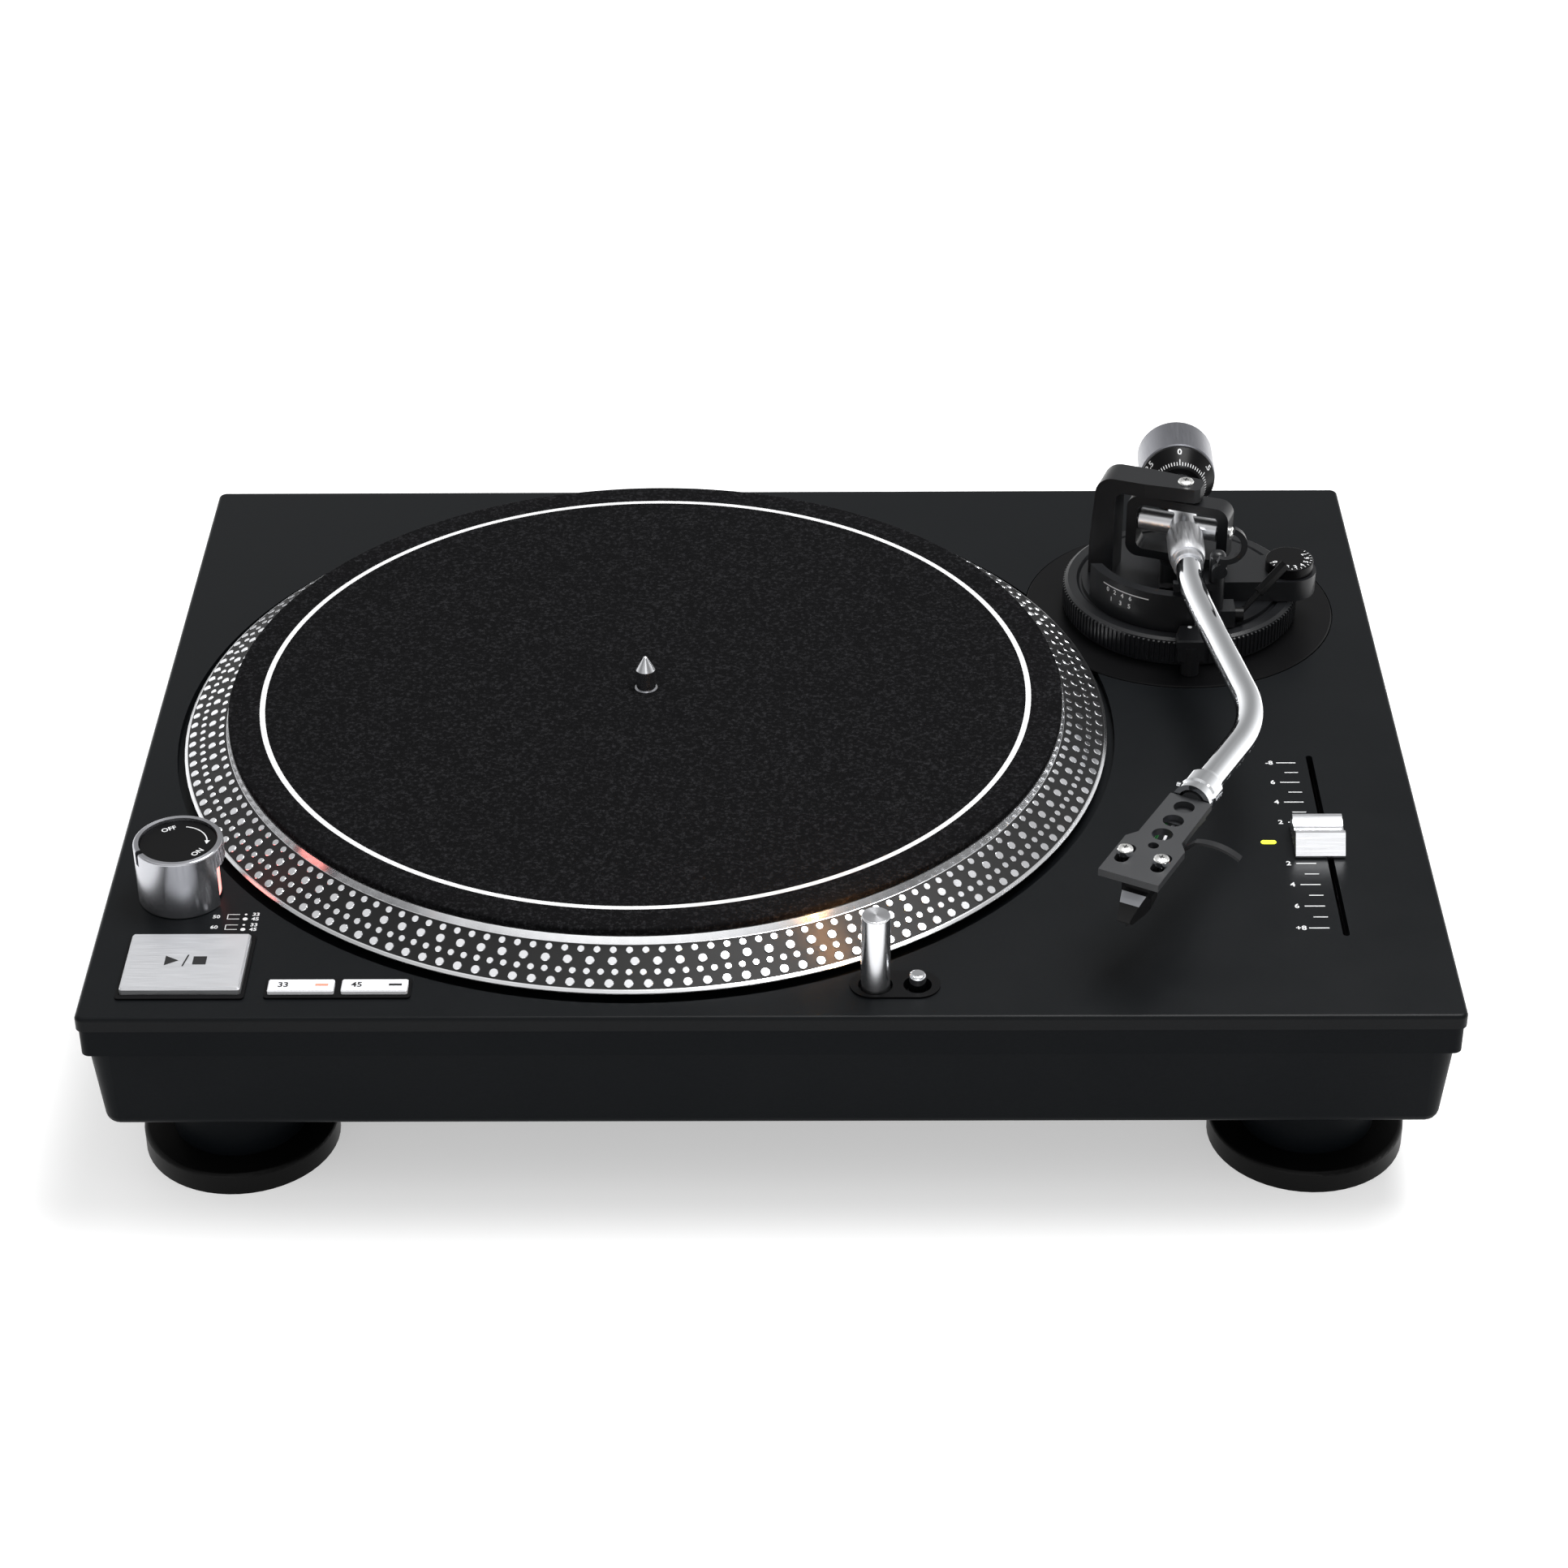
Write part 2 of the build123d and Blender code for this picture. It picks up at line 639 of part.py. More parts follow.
# Power knob: a sleeve that turns round a fixed tower holding the strobe lamp's lens
tower_radius = knob_radius - knob_wall - 0.3
with BuildPart() as strobe_tower:
    with BuildSketch(level(knob_center, 0)):
        Circle(tower_radius)
    extrude(amount=knob_height - knob_cap_sink)
    with BuildSketch(level(knob_center, 0)):
        Circle(knob_stem_radius)
    extrude(amount=-12)
    with Locations(Location((*knob_center, above(1.0)), (0, 0, strobe_angle))):
        Box(tower_radius * 2, strobe_window[0], strobe_window[1],
            align=(Align.MIN, Align.CENTER, Align.MIN), mode=Mode.SUBTRACT)

with BuildPart() as strobe_lens:
    with BuildSketch(level(knob_center, 1.0)):
        Circle(tower_radius - 0.2)
        with Locations(Location((0, 0, 0), (0, 0, strobe_angle))):
            Rectangle(tower_radius * 2, strobe_window[0] - seat_gap, align=(Align.MIN, Align.CENTER),
                      mode=Mode.INTERSECT)
    extrude(amount=strobe_window[1] - seat_gap)

with BuildPart() as power_knob:
    with BuildSketch(level(knob_center, 0.3)):
        Circle(knob_radius)
    extrude(amount=knob_height - 0.3)
    fillet(power_knob.faces().sort_by(Axis.Z)[-1].edges(), 0.7)
    with BuildSketch(level(knob_center, 0.3)):
        Circle(knob_radius - knob_wall)
    extrude(amount=knob_height, mode=Mode.SUBTRACT)
    with Locations(Location((*knob_center, above(knob_height)), (0, 0, knob_notch_angle))):
        Box(knob_radius * 2, knob_notch[0], knob_notch[1],
            align=(Align.MIN, Align.CENTER, Align.MAX), mode=Mode.SUBTRACT)
    with Locations(Location((*knob_center, above(0.3)), (0, 0, strobe_angle))):
        Box(knob_radius * 2, strobe_window[0] + 6, strobe_window[1] + 0.7,
            align=(Align.MIN, Align.CENTER, Align.MIN), mode=Mode.SUBTRACT)

with BuildPart() as power_switch:
    with BuildSketch(Plane(origin=(*knob_center, deck_bottom))):
        Circle(knob_stem_radius + power_switch_wall)
        Circle(knob_stem_radius + seat_gap, mode=Mode.SUBTRACT)
    extrude(amount=-8)

# Pop-up target light and its button
sleeve_bottom = above(light_height - light_length - 6)
with BuildPart() as light_bezel:
    with BuildSketch(level(light_bezel_center, touch_gap)):
        SlotOverall(*light_bezel_size)
    extrude(amount=bezel_proud)
    with BuildSketch(level(light_bezel_center, touch_gap)):
        SlotOverall(light_bezel_size[0] - 1.2 - 2 * touch_gap, light_bezel_size[1] - 1.2 - 2 * touch_gap)
    extrude(amount=-deck_thickness - 8)
    with BuildSketch(level(light_center, -deck_thickness)):
        Circle(light_radius + 2)
    extrude(amount=sleeve_bottom - deck_bottom)
    with BuildSketch(level(light_center, -2)):
        Circle(light_radius + 0.85)
    extrude(amount=deck_thickness, mode=Mode.SUBTRACT)
    with BuildSketch(level(light_center, 0)):
        Circle(light_radius + running)
    extrude(amount=sleeve_bottom - deck_top, mode=Mode.SUBTRACT)
    with BuildSketch(level(light_button_center, -3.5)):
        Circle(light_button_radius + 1.8)
    extrude(amount=deck_thickness, mode=Mode.SUBTRACT)
    with BuildSketch(level(light_button_center, 0)):
        Circle(plunger_radius + running)
    extrude(amount=-deck_thickness - 10, mode=Mode.SUBTRACT)

lamp_angle = 116.0
lamp_window = (5.4, 8.0)
with BuildPart() as target_light:
    with BuildSketch(level(light_center, light_height)):
        Circle(light_radius)
    extrude(amount=-light_length)
    fillet(target_light.faces().sort_by(Axis.Z)[-1].edges(), 0.5)
    with Locations(Location((*light_center, above(light_height - 3)), (0, 0, lamp_angle))):
        Box(light_radius * 2, *lamp_window, align=(Align.MIN, Align.CENTER, Align.MAX),
            mode=Mode.SUBTRACT)

with BuildPart() as light_lens:
    with BuildSketch(level(light_center, light_height - 3 - seat_gap / 2)):
        Circle(light_radius - 0.3)
        with Locations(Location((0, 0, 0), (0, 0, lamp_angle))):
            Rectangle(light_radius * 2, lamp_window[0] - seat_gap, align=(Align.MIN, Align.CENTER),
                      mode=Mode.INTERSECT)
    extrude(amount=-(lamp_window[1] - seat_gap))

with BuildPart() as light_button:
    with BuildSketch(level(light_button_center, light_button_height)):
        Circle(light_button_radius)
    extrude(amount=-light_button_height - 1)
    fillet(light_button.faces().sort_by(Axis.Z)[-1].edges(), 1.2)
    with BuildSketch(level(light_button_center, 0)):
        Circle(plunger_radius)
    extrude(amount=-deck_thickness - 9)

# Pitch fader
fader_stem = (1.6, 6.0)
fader_groove = 5.0
with BuildPart() as fader_body:
    with BuildSketch(Plane(origin=(*fader_center, deck_bottom))):
        Rectangle(fader_body_size[0], fader_body_size[1])
    extrude(amount=-fader_body_size[2])
    with BuildSketch(Plane(origin=(*fader_center, deck_bottom))):
        Rectangle(fader_stem[0] + 0.4, 2 * fader_travel + fader_stem[1] + 1)
    extrude(amount=-fader_groove, mode=Mode.SUBTRACT)

knob_long = fader_knob_size[1] / 2
knob_tall = fader_knob_size[2]
ridge_out = knob_long - 4.2
ridge_in = ridge_out - 1.4
with BuildPart() as fader_knob:
    with BuildSketch(Plane(origin=(fader_center[0] + fader_knob_offset, fader_center[1], above(panel_gap)),
                           x_dir=(0, 1, 0), z_dir=(1, 0, 0))):
        with BuildLine():
            Polyline((ridge_in, knob_tall), (ridge_out, knob_tall), (knob_long, 0.8),
                     (knob_long, 0), (-knob_long, 0), (-knob_long, 0.8), (-ridge_out, knob_tall),
                     (-ridge_in, knob_tall))
            ThreePointArc((-ridge_in, knob_tall), (0, knob_tall - 1.8), (ridge_in, knob_tall))
        make_face()
    extrude(amount=fader_knob_size[0] / 2, both=True)
    with BuildSketch(level(fader_center, panel_gap)):
        Rectangle(*fader_stem)
    extrude(amount=-(panel_gap + deck_thickness + fader_groove - 0.6))

with BuildPart() as pitch_lamp:
    with BuildSketch(level(lamp_center, 0.2)):
        SlotOverall(lamp_size[0] - 2 * touch_gap, lamp_size[1] - 2 * touch_gap)
    extrude(amount=-deck_thickness)

# Tonearm board with the guide tube, and the height ring that turns on it
with BuildPart() as arm_board:
    with BuildSketch(level(arm_pivot, arm_board_proud)):
        Circle(arm_board_radius)
    extrude(amount=-(arm_board_proud + arm_board_seat))
    chamfer(arm_board.faces().sort_by(Axis.Z)[-1].edges(), 0.4)
    with BuildSketch(level(arm_pivot, -deck_thickness - 8)):
        Circle(guide_radius)
    extrude(amount=deck_thickness + 8 + guide_top)
    with BuildSketch(level(arm_pivot, guide_top)):
        Circle(guide_radius - 5)
    extrude(amount=-deck_thickness - 20, mode=Mode.SUBTRACT)
    with BuildSketch(Plane(origin=from_pivot(*lock_place, arm_board_proud))):
        Circle(lock_post_radius)
    extrude(amount=lock_height - 4)

ring_bottom = above(arm_board_proud) + 2 * seat_gap
height_ring = turned(arm_pivot, [
    (base_radius + running, ring_bottom), (ring_radius - 0.8, ring_bottom),
    (ring_radius - 0.8, ring_bottom + 1), (ring_radius, ring_bottom + 1.4),
    (ring_radius, above(ring_top - 0.8)), (ring_radius - 1.2, above(ring_top)),
    (base_radius + 2, above(ring_top)), (base_radius + 1, above(ring_top - 1)),
    (base_radius + running, above(ring_top - 1))])

# Tonearm base: dish on the guide tube, with the anti-skate block and the cue housing
base_bottom = 2.0
guide_bore = guide_radius + running
skate_bottom = ring_top + 0.3
base_step = ring_top + 0.5
rim_end = 4.0
rim_back = -12.0
rest_sink = 3.0
cue_bore_depth = 9.0
with BuildPart() as arm_base:
    with BuildSketch(level(arm_pivot, base_bottom)):
        Circle(base_radius)
    extrude(amount=base_height - base_bottom)
    with BuildSketch(level(arm_pivot, base_floor)):
        Circle(base_radius - base_rim)
    extrude(amount=base_height, mode=Mode.SUBTRACT)
    with BuildSketch(level(arm_pivot, base_bottom)):
        Circle(guide_bore)
    extrude(amount=guide_top + 2 - base_bottom, mode=Mode.SUBTRACT)
    with Locations(from_pivot(0, rim_back, base_step)):
        Box(200, 100, 60, align=(Align.CENTER, Align.MIN, Align.MIN), mode=Mode.SUBTRACT)
    with Locations(from_pivot(rim_end, 0, base_step)):
        Box(100, 200, 60, align=(Align.MIN, Align.CENTER, Align.MIN), mode=Mode.SUBTRACT)
    with BuildSketch(level((arm_pivot[0] + skate_center[0], arm_pivot[1] + skate_center[1]),
                           skate_bottom)):
        Circle(skate_block_radius)
        Rectangle(skate_center[0] - rim_end, 2 * skate_block_radius, align=(Align.MAX, Align.CENTER))
    extrude(amount=skate_block_top - skate_bottom)
    with Locations(from_pivot(cue_lever_pivot[0] - 0.2, cue_lever_pivot[1] - 4.5, skate_bottom)):
        Box(8, 9, 7, align=(Align.MAX, Align.MIN, Align.MIN))
    with BuildSketch(level(arm_pivot, ring_top)):
        Circle(8)
    extrude(amount=gimbal_bottom - 1 - ring_top)
    with BuildSketch(level(arm_pivot, gimbal_bottom)):
        Circle(pivot_radius + 1 + running)
    extrude(amount=-5, mode=Mode.SUBTRACT)
    with Locations(bearing_plan.offset(base_step)):
        with Locations((yoke_left - 4, 0)):
            Box(yoke_column + 5, yoke_width + 2 * touch_gap, 40,
                align=(Align.MIN, Align.CENTER, Align.MIN), mode=Mode.SUBTRACT)
    with BuildSketch(level((arm_pivot[0] + skate_center[0], arm_pivot[1] + skate_center[1]),
                           skate_block_top)):
        Circle(3 + running)
    extrude(amount=-6, mode=Mode.SUBTRACT)
    with BuildSketch(Plane(origin=from_pivot(*cue_post, base_floor))):
        Circle(2 + running)
    extrude(amount=-cue_bore_depth, mode=Mode.SUBTRACT)
    with BuildSketch(Plane(origin=from_pivot(*cue_lever_pivot), x_dir=(0, 1, 0), z_dir=(1, 0, 0))):
        Circle(pivot_radius + running)
    extrude(amount=-4, mode=Mode.SUBTRACT)
    with BuildSketch(Plane(origin=from_pivot(*rest_post, base_step - rest_sink))):
        Circle(rest_post_radius + touch_gap)
    extrude(amount=30, mode=Mode.SUBTRACT)

with BuildPart() as anti_skate_dial:
    with BuildSketch(Plane(origin=from_pivot(*skate_center, skate_block_top + seat_gap))):
        Circle(skate_dial_radius)
    extrude(amount=skate_dial_height)
    fillet(anti_skate_dial.faces().sort_by(Axis.Z)[-1].edges(), 0.5)
    with BuildSketch(Plane(origin=from_pivot(*skate_center, skate_block_top + seat_gap))):
        Circle(3)
    extrude(amount=-5.5)

# Gimbal: a fixed yoke, a ring that swings in it, and the pivot screws
corner_cut = yoke_corner * (1 - cos(radians(45)))
with BuildPart() as gimbal_yoke:
    with BuildSketch(bearing_face):
        with BuildLine():
            Polyline((yoke_left + yoke_corner, yoke_top), (yoke_right, yoke_top),
                     (yoke_right, yoke_top - yoke_bar),
                     (yoke_left + yoke_column + 2, yoke_top - yoke_bar),
                     (yoke_left + yoke_column, yoke_top - yoke_bar - 2),
                     (yoke_left + yoke_column, base_step), (yoke_left - 1.5, base_step),
                     (yoke_left - 1.5, base_height), (yoke_left, yoke_top - yoke_corner))
            ThreePointArc((yoke_left, yoke_top - yoke_corner),
                          (yoke_left + corner_cut, yoke_top - corner_cut),
                          (yoke_left + yoke_corner, yoke_top))
        make_face()
    extrude(amount=yoke_width / 2, both=True)
    with BuildSketch(bearing_plan):
        with BuildLine():
            Polyline((yoke_left - 3, -yoke_width / 2), (-14, -yoke_width / 2), (yoke_right - 2, -4.6),
                     (yoke_right, -3), (yoke_right, 3), (yoke_right - 2, 4.6), (-14, yoke_width / 2),
                     (yoke_left - 3, yoke_width / 2), close=True)
        make_face()
    extrude(amount=100, mode=Mode.INTERSECT)
    with BuildSketch(level(arm_pivot, yoke_top)):
        Circle(3 + touch_gap)
    extrude(amount=-yoke_bar, mode=Mode.SUBTRACT)

with BuildPart() as pivot_screws:
    with BuildSketch(level(arm_pivot, yoke_top + 0.3)):
        Circle(3)
    extrude(amount=-yoke_bar)
    with BuildSketch(level(arm_pivot, yoke_top)):
        Circle(pivot_radius)
    extrude(amount=-(yoke_top - gimbal_top + gimbal_wall - 0.8))
    with BuildSketch(level(arm_pivot, yoke_top + 0.3)):
        with GridLocations(3, 0, 2, 1):
            Circle(0.5)
    extrude(amount=-0.8, mode=Mode.SUBTRACT)

gimbal_middle = (gimbal_left + gimbal_right) / 2
gimbal_center_z = (gimbal_top + gimbal_bottom) / 2
with BuildPart() as gimbal_ring:
    with BuildSketch(bearing_face):
        with Locations((gimbal_middle, gimbal_center_z)):
            RectangleRounded(gimbal_right - gimbal_left, gimbal_top - gimbal_bottom, 5)
            RectangleRounded(gimbal_right - gimbal_left - 2 * gimbal_wall,
                             gimbal_top - gimbal_bottom - 2 * gimbal_wall + 1.2, 3, mode=Mode.SUBTRACT)
    extrude(amount=gimbal_thickness / 2, both=True)
    with BuildSketch(level(arm_pivot, gimbal_bottom + 1)):
        Circle(pivot_radius + 1)
    extrude(amount=-5.4)
    with BuildSketch(level(arm_pivot, gimbal_top)):
        Circle(pivot_radius + running)
    extrude(amount=-gimbal_wall - 2, mode=Mode.SUBTRACT)
    with BuildSketch(cross_axis.offset(gimbal_left - 1)):
        Circle(2.4 + touch_gap)
    extrude(amount=gimbal_wall + 3, mode=Mode.SUBTRACT)
    with BuildSketch(cross_axis.offset(gimbal_right - gimbal_wall - 1)):
        Circle(2.4 + touch_gap)
    extrude(amount=gimbal_wall + 3, mode=Mode.SUBTRACT)

hub_left = gimbal_left + gimbal_wall + 0.6
hub_right = gimbal_right - gimbal_wall - 0.6
pivot_grip = 3.5
with BuildPart() as side_pivot_screws:
    with BuildSketch(cross_axis.offset(gimbal_left - 0.3)):
        Circle(2.4)
    extrude(amount=gimbal_wall)
    with BuildSketch(cross_axis.offset(gimbal_left)):
        Circle(pivot_radius)
    extrude(amount=hub_left - gimbal_left + pivot_grip)
    with BuildSketch(cross_axis.offset(gimbal_right + 0.3)):
        Circle(2.4)
    extrude(amount=-gimbal_wall)
    with BuildSketch(cross_axis.offset(gimbal_right)):
        Circle(pivot_radius)
    extrude(amount=-(gimbal_right - hub_right + pivot_grip))

# Arm hub: cross shaft, barrel with its ferrule, and the rear shaft
with BuildPart() as arm_hub:
    with BuildSketch(arm_side):
        with BuildLine():
            Polyline((-rear_shaft_end, 0), (-rear_shaft_end, rear_shaft_radius), (-7, rear_shaft_radius),
                     (-6, barrel_waist), (7, barrel_waist), (9, barrel_radius),
                     (barrel_front - 6, barrel_radius))
            ThreePointArc((barrel_front - 6, barrel_radius), (barrel_front - 2.6, barrel_radius - 0.15),
                          (barrel_front, barrel_waist + 0.8))
            Polyline((barrel_front, barrel_waist + 0.8), (barrel_front, tube_radius + 0.8),
                     (barrel_front + ferrule_length, tube_radius + 0.8), (barrel_front + ferrule_length, 0),
                     (-rear_shaft_end, 0))
        make_face()
    revolve(axis=arm_axis)
    with BuildSketch(cross_axis.offset(hub_left)):
        Circle(cross_shaft_radius)
    extrude(amount=hub_right - hub_left)
    with BuildSketch(cross_axis.offset(hub_left)):
        Circle(pivot_radius + running)
    extrude(amount=pivot_grip + 0.4, mode=Mode.SUBTRACT)
    with BuildSketch(cross_axis.offset(hub_right)):
        Circle(pivot_radius + running)
    extrude(amount=-pivot_grip - 0.4, mode=Mode.SUBTRACT)
    with BuildSketch(Plane(origin=arm_point + arm_forward * tube_start, z_dir=arm_forward)):
        Circle(tube_radius + touch_gap)
    extrude(amount=barrel_front, mode=Mode.SUBTRACT)

# S-shaped tube from the barrel to the headshell collar
tube_end = shell_back - shell_forward * 8
with BuildPart() as arm_tube:
    with BuildLine() as tube_path:
        FilletPolyline(arm_point + arm_forward * (tube_start + seat_gap), first_bend, second_bend, tube_end,
                       radius=arm_bends)
    with BuildSketch(Plane(origin=arm_point + arm_forward * (tube_start + seat_gap), z_dir=arm_forward)):
        Circle(tube_radius)
        Circle(tube_radius - tube_wall, mode=Mode.SUBTRACT)
    sweep()

# Collar that locks the headshell, with its small pin
collar_back = -collar_length - 0.4
with BuildPart() as locking_collar:
    with BuildSketch(shell_side):
        with BuildLine():
            Polyline((collar_back, tube_radius + running), (collar_back, collar_radius - 1.2),
                     (collar_back + 2, collar_radius - 0.9), (collar_back + 2.6, collar_radius),
                     (collar_back + 8.4, collar_radius), (collar_back + 9, collar_radius - 0.6),
                     (-2.6, collar_radius - 0.6), (-2, collar_radius), (-0.4, collar_radius),
                     (-0.4, tube_radius + running), close=True)
        make_face()
    revolve(axis=shell_axis)
    with BuildSketch(Plane(origin=shell_back + shell_forward * (collar_back + 5.4),
                           z_dir=shell_forward.cross(Vector(0, 0, 1)))):
        Circle(0.9)
    extrude(amount=collar_radius + 1.8)
    with BuildSketch(Plane(origin=shell_back - shell_forward * collar_length * 1.5, z_dir=shell_forward)):
        Circle(tube_radius + running)
    extrude(amount=collar_length * 2, mode=Mode.SUBTRACT)

# Headshell with its neck and plug, finger lift, cartridge and leads
shell_half_back = headshell_back / 2
shell_half_front = headshell_front / 2
neck_length = 13.0
neck_drop = 4.0
with BuildPart() as headshell:
    with BuildSketch(shell_plan.offset(shell_under_z)):
        with BuildLine():
            Polyline((0, shell_half_back), (headshell_shoulder[0], shell_half_back + 0.3),
                     (headshell_shoulder[1], shell_half_front), (headshell_length, shell_half_front),
                     (headshell_length, -shell_half_front), (headshell_shoulder[1], -shell_half_front),
                     (headshell_shoulder[0], -shell_half_back - 0.3), (0, -shell_half_back), close=True)
        make_face()
        with Locations(*[(place, 0) for place in headshell_holes]):
            Circle(headshell_hole_radius, mode=Mode.SUBTRACT)
        with Locations((31.4, 0)):
            Circle(1.8, mode=Mode.SUBTRACT)
        for side in (-0.5, 0.5):
            with Locations((cartridge_screw_place, side * cartridge_pitch)):
                SlotOverall(11, 4.6, mode=Mode.SUBTRACT)
    extrude(amount=headshell_thickness)
    with BuildSketch(shell_side):
        with BuildLine():
            Polyline((0, shell_under_z), (neck_length, shell_under_z), (neck_length - 3, -neck_drop),
                     (0, -neck_drop - 1), close=True)
        make_face()
    extrude(amount=5.6, both=True)
    with BuildSketch(shell_plan.offset(-neck_drop - 2)):
        with Locations(*[(place, 0) for place in headshell_holes[:2]]):
            Circle(headshell_hole_radius, mode=Mode.ADD)
    extrude(amount=neck_drop + 1, mode=Mode.SUBTRACT)
    with BuildSketch(Plane(origin=shell_back, z_dir=shell_forward * -1)):
        Circle(tube_radius - tube_wall - seat_gap)
    extrude(amount=11)

lift_plan = Plane(origin=shell_back + shell_forward * 23.6 + Vector(0, 0, shell_under_z - touch_gap),
                  x_dir=heading(arm_headings[2] - 90), z_dir=shell_forward)
with BuildPart() as finger_lift:
    with BuildSketch(lift_plan):
        with BuildLine():
            ThreePointArc((11.5, 3.4), (19.5, 4.2), (27.5, 1.6))
            Line((27.5, 1.6), (27.1, 0.7))
            ThreePointArc((27.1, 0.7), (19.5, 3.2), (12, 2.5))
            Polyline((12, 2.5), (8.5, -1), (4.5, -1), (4.5, 0), (8, 0), (11.5, 3.4))
        make_face()
    extrude(amount=1.3, both=True)

cart_back = 34.0
cart_front = 44.5
flange_under = shell_under_z - 2.4
body_under = flange_under - cartridge_height
with BuildPart() as cartridge:
    with BuildSketch(shell_plan.offset(shell_under_z - touch_gap)):
        with Locations((cartridge_screw_place, 0)):
            RectangleRounded(7.5, 17.4, 2)
    extrude(amount=-2.4)
    with BuildSketch(shell_plan.offset(flange_under)):
        with Locations(((cart_back + cart_front) / 2, 0)):
            Rectangle(cart_front - cart_back, cartridge_width)
    extrude(amount=-cartridge_height)
    with BuildSketch(shell_plan.offset(shell_under_z)):
        for side in (-0.5, 0.5):
            with Locations((cartridge_screw_place, side * cartridge_pitch)):
                Circle(1.2 + running)
    extrude(amount=-4, mode=Mode.SUBTRACT)

tip_z = stylus_drop - arm_axis_height
nose_back = cart_back + 4
nose_front = cart_front + nose_length
nose_under = body_under - nose_drop
nose_half = cartridge_width / 2
with BuildPart() as stylus:
    with BuildSketch(shell_side):
        with BuildLine():
            Polyline((cart_front + touch_gap, body_under + 2.1), (cart_front + 3.4, body_under + 0.3),
                     (nose_front - 0.5, nose_under + 2.4), (nose_front, nose_under + 1.2),
                     (nose_front - 1.3, nose_under), (cart_front + 1.5, nose_under + 0.4),
                     (nose_back, body_under - 3), (nose_back, body_under - touch_gap),
                     (cart_front + touch_gap, body_under - touch_gap), close=True)
        make_face()
    extrude(amount=nose_half, both=True)
    with BuildSketch(shell_plan.offset(nose_under - 1)):
        with BuildLine():
            Polyline((nose_back - 1, -nose_half), (cart_front - 1.5, -nose_half), (nose_front + 0.1, -2.2),
                     (nose_front + 0.1, 2.2), (cart_front - 1.5, nose_half), (nose_back - 1, nose_half),
                     close=True)
        make_face()
    extrude(amount=30, mode=Mode.INTERSECT)
    with BuildSketch(shell_plan.offset(tip_z)):
        with Locations((nose_front - 3.4, 0)):
            Circle(0.35)
    extrude(amount=nose_under + 0.5 - tip_z)

with BuildPart() as cartridge_screws:
    for side in (-0.5, 0.5):
        with BuildSketch(shell_plan.offset(shell_top_z + touch_gap)):
            with Locations((cartridge_screw_place, side * cartridge_pitch)):
                Circle(2.6)
        extrude(amount=1.6)
        with BuildSketch(shell_plan.offset(shell_top_z + touch_gap)):
            with Locations((cartridge_screw_place, side * cartridge_pitch)):
                Circle(1.2)
        extrude(amount=-(headshell_thickness + 3))

lead_starts = (-4.2, -1.4, 1.4, 4.2)
lead_ends = ((-3.6, -2.4), (-1.2, -4.6), (1.2, -2.4), (3.6, -4.6))
with BuildPart() as headshell_leads:
    for start_w, (end_w, drop) in zip(lead_starts, lead_ends):
        start = shell_plan.from_local_coords(Vector(neck_length - 2.2, start_w, -neck_drop + 1.2))
        leave = shell_plan.from_local_coords(Vector(neck_length + 3, start_w, -neck_drop + 1.2))
        arrive = shell_plan.from_local_coords(Vector(cart_back - 7, end_w, flange_under + drop))
        end = shell_plan.from_local_coords(Vector(cart_back, end_w, flange_under + drop))
        with BuildLine():
            FilletPolyline(start, leave, arrive, end, radius=3)
        with BuildSketch(Plane(origin=start, z_dir=leave - start)):
            Circle(lead_radius)
        sweep()
    with BuildSketch(shell_side):
        with BuildLine():
            Polyline((0, 10), (neck_length + touch_gap, 10), (neck_length + touch_gap, shell_under_z),
                     (neck_length - 3 + touch_gap, -neck_drop), (neck_length - 3, -20), (0, -20), close=True)
        make_face()
    extrude(amount=12, both=True, mode=Mode.SUBTRACT)

# Counterweight, its threaded sleeve and the force dial, round the rear shaft


def round_shaft(points):
    """Ring round the arm's axis from points of distance behind the pivot and radius."""
    with BuildPart() as ring:
        with BuildSketch(arm_side):
            with BuildLine():
                Polyline(*[(-back, radius) for back, radius in points], close=True)
            make_face()
        revolve(axis=arm_axis)
    return ring


weight_back = weight_front + weight_length
dial_front = weight_front - dial_length
sleeve_front = dial_front + weight_travel
weight_sleeve = round_shaft([
    (sleeve_front, rear_shaft_radius + running), (sleeve_front, sleeve_radius),
    (weight_back - 2, sleeve_radius), (weight_back - 2, rear_shaft_radius + running)])
counterweight = round_shaft([
    (weight_front, sleeve_radius + running), (weight_front, weight_radius - 0.6),
    (weight_front + 0.6, weight_radius), (weight_back - 1, weight_radius),
    (weight_back, weight_radius - 1), (weight_back, sleeve_radius + running)])
weight_dial = round_shaft([
    (dial_front, sleeve_radius + running), (dial_front, dial_front_radius - 0.5),
    (dial_front + 0.5, dial_front_radius), (weight_front - 1.4, weight_radius - 0.3),
    (weight_front - 2 * seat_gap, weight_radius - 0.3),
    (weight_front - 2 * seat_gap, sleeve_radius + running)])

# Arm rest with its ledge, and the clip that swings over the tube
ledge_top = arm_axis_height - tube_radius - 0.5
clip_pivot_height = 38.4
clip_y = rest_post[1] - rest_post_radius - 2.4
with BuildPart() as arm_rest:
    with BuildSketch(Plane(origin=from_pivot(*rest_post, base_step - rest_sink))):
        Circle(rest_post_radius)
    extrude(amount=rest_top - base_step + rest_sink)
    fillet(arm_rest.faces().sort_by(Axis.Z)[-1].edges(), 2.4)
    with Locations(from_pivot(rest_post[0], rest_post[1], ledge_top)):
        Box(16, rest_post_radius, 3, align=(Align.MAX, Align.MAX, Align.MAX))
    with BuildSketch(Plane(origin=from_pivot(rest_post[0], rest_post[1], clip_pivot_height),
                           x_dir=(1, 0, 0), z_dir=(0, -1, 0))):
        Circle(1.2)
    extrude(amount=rest_post_radius + 5)

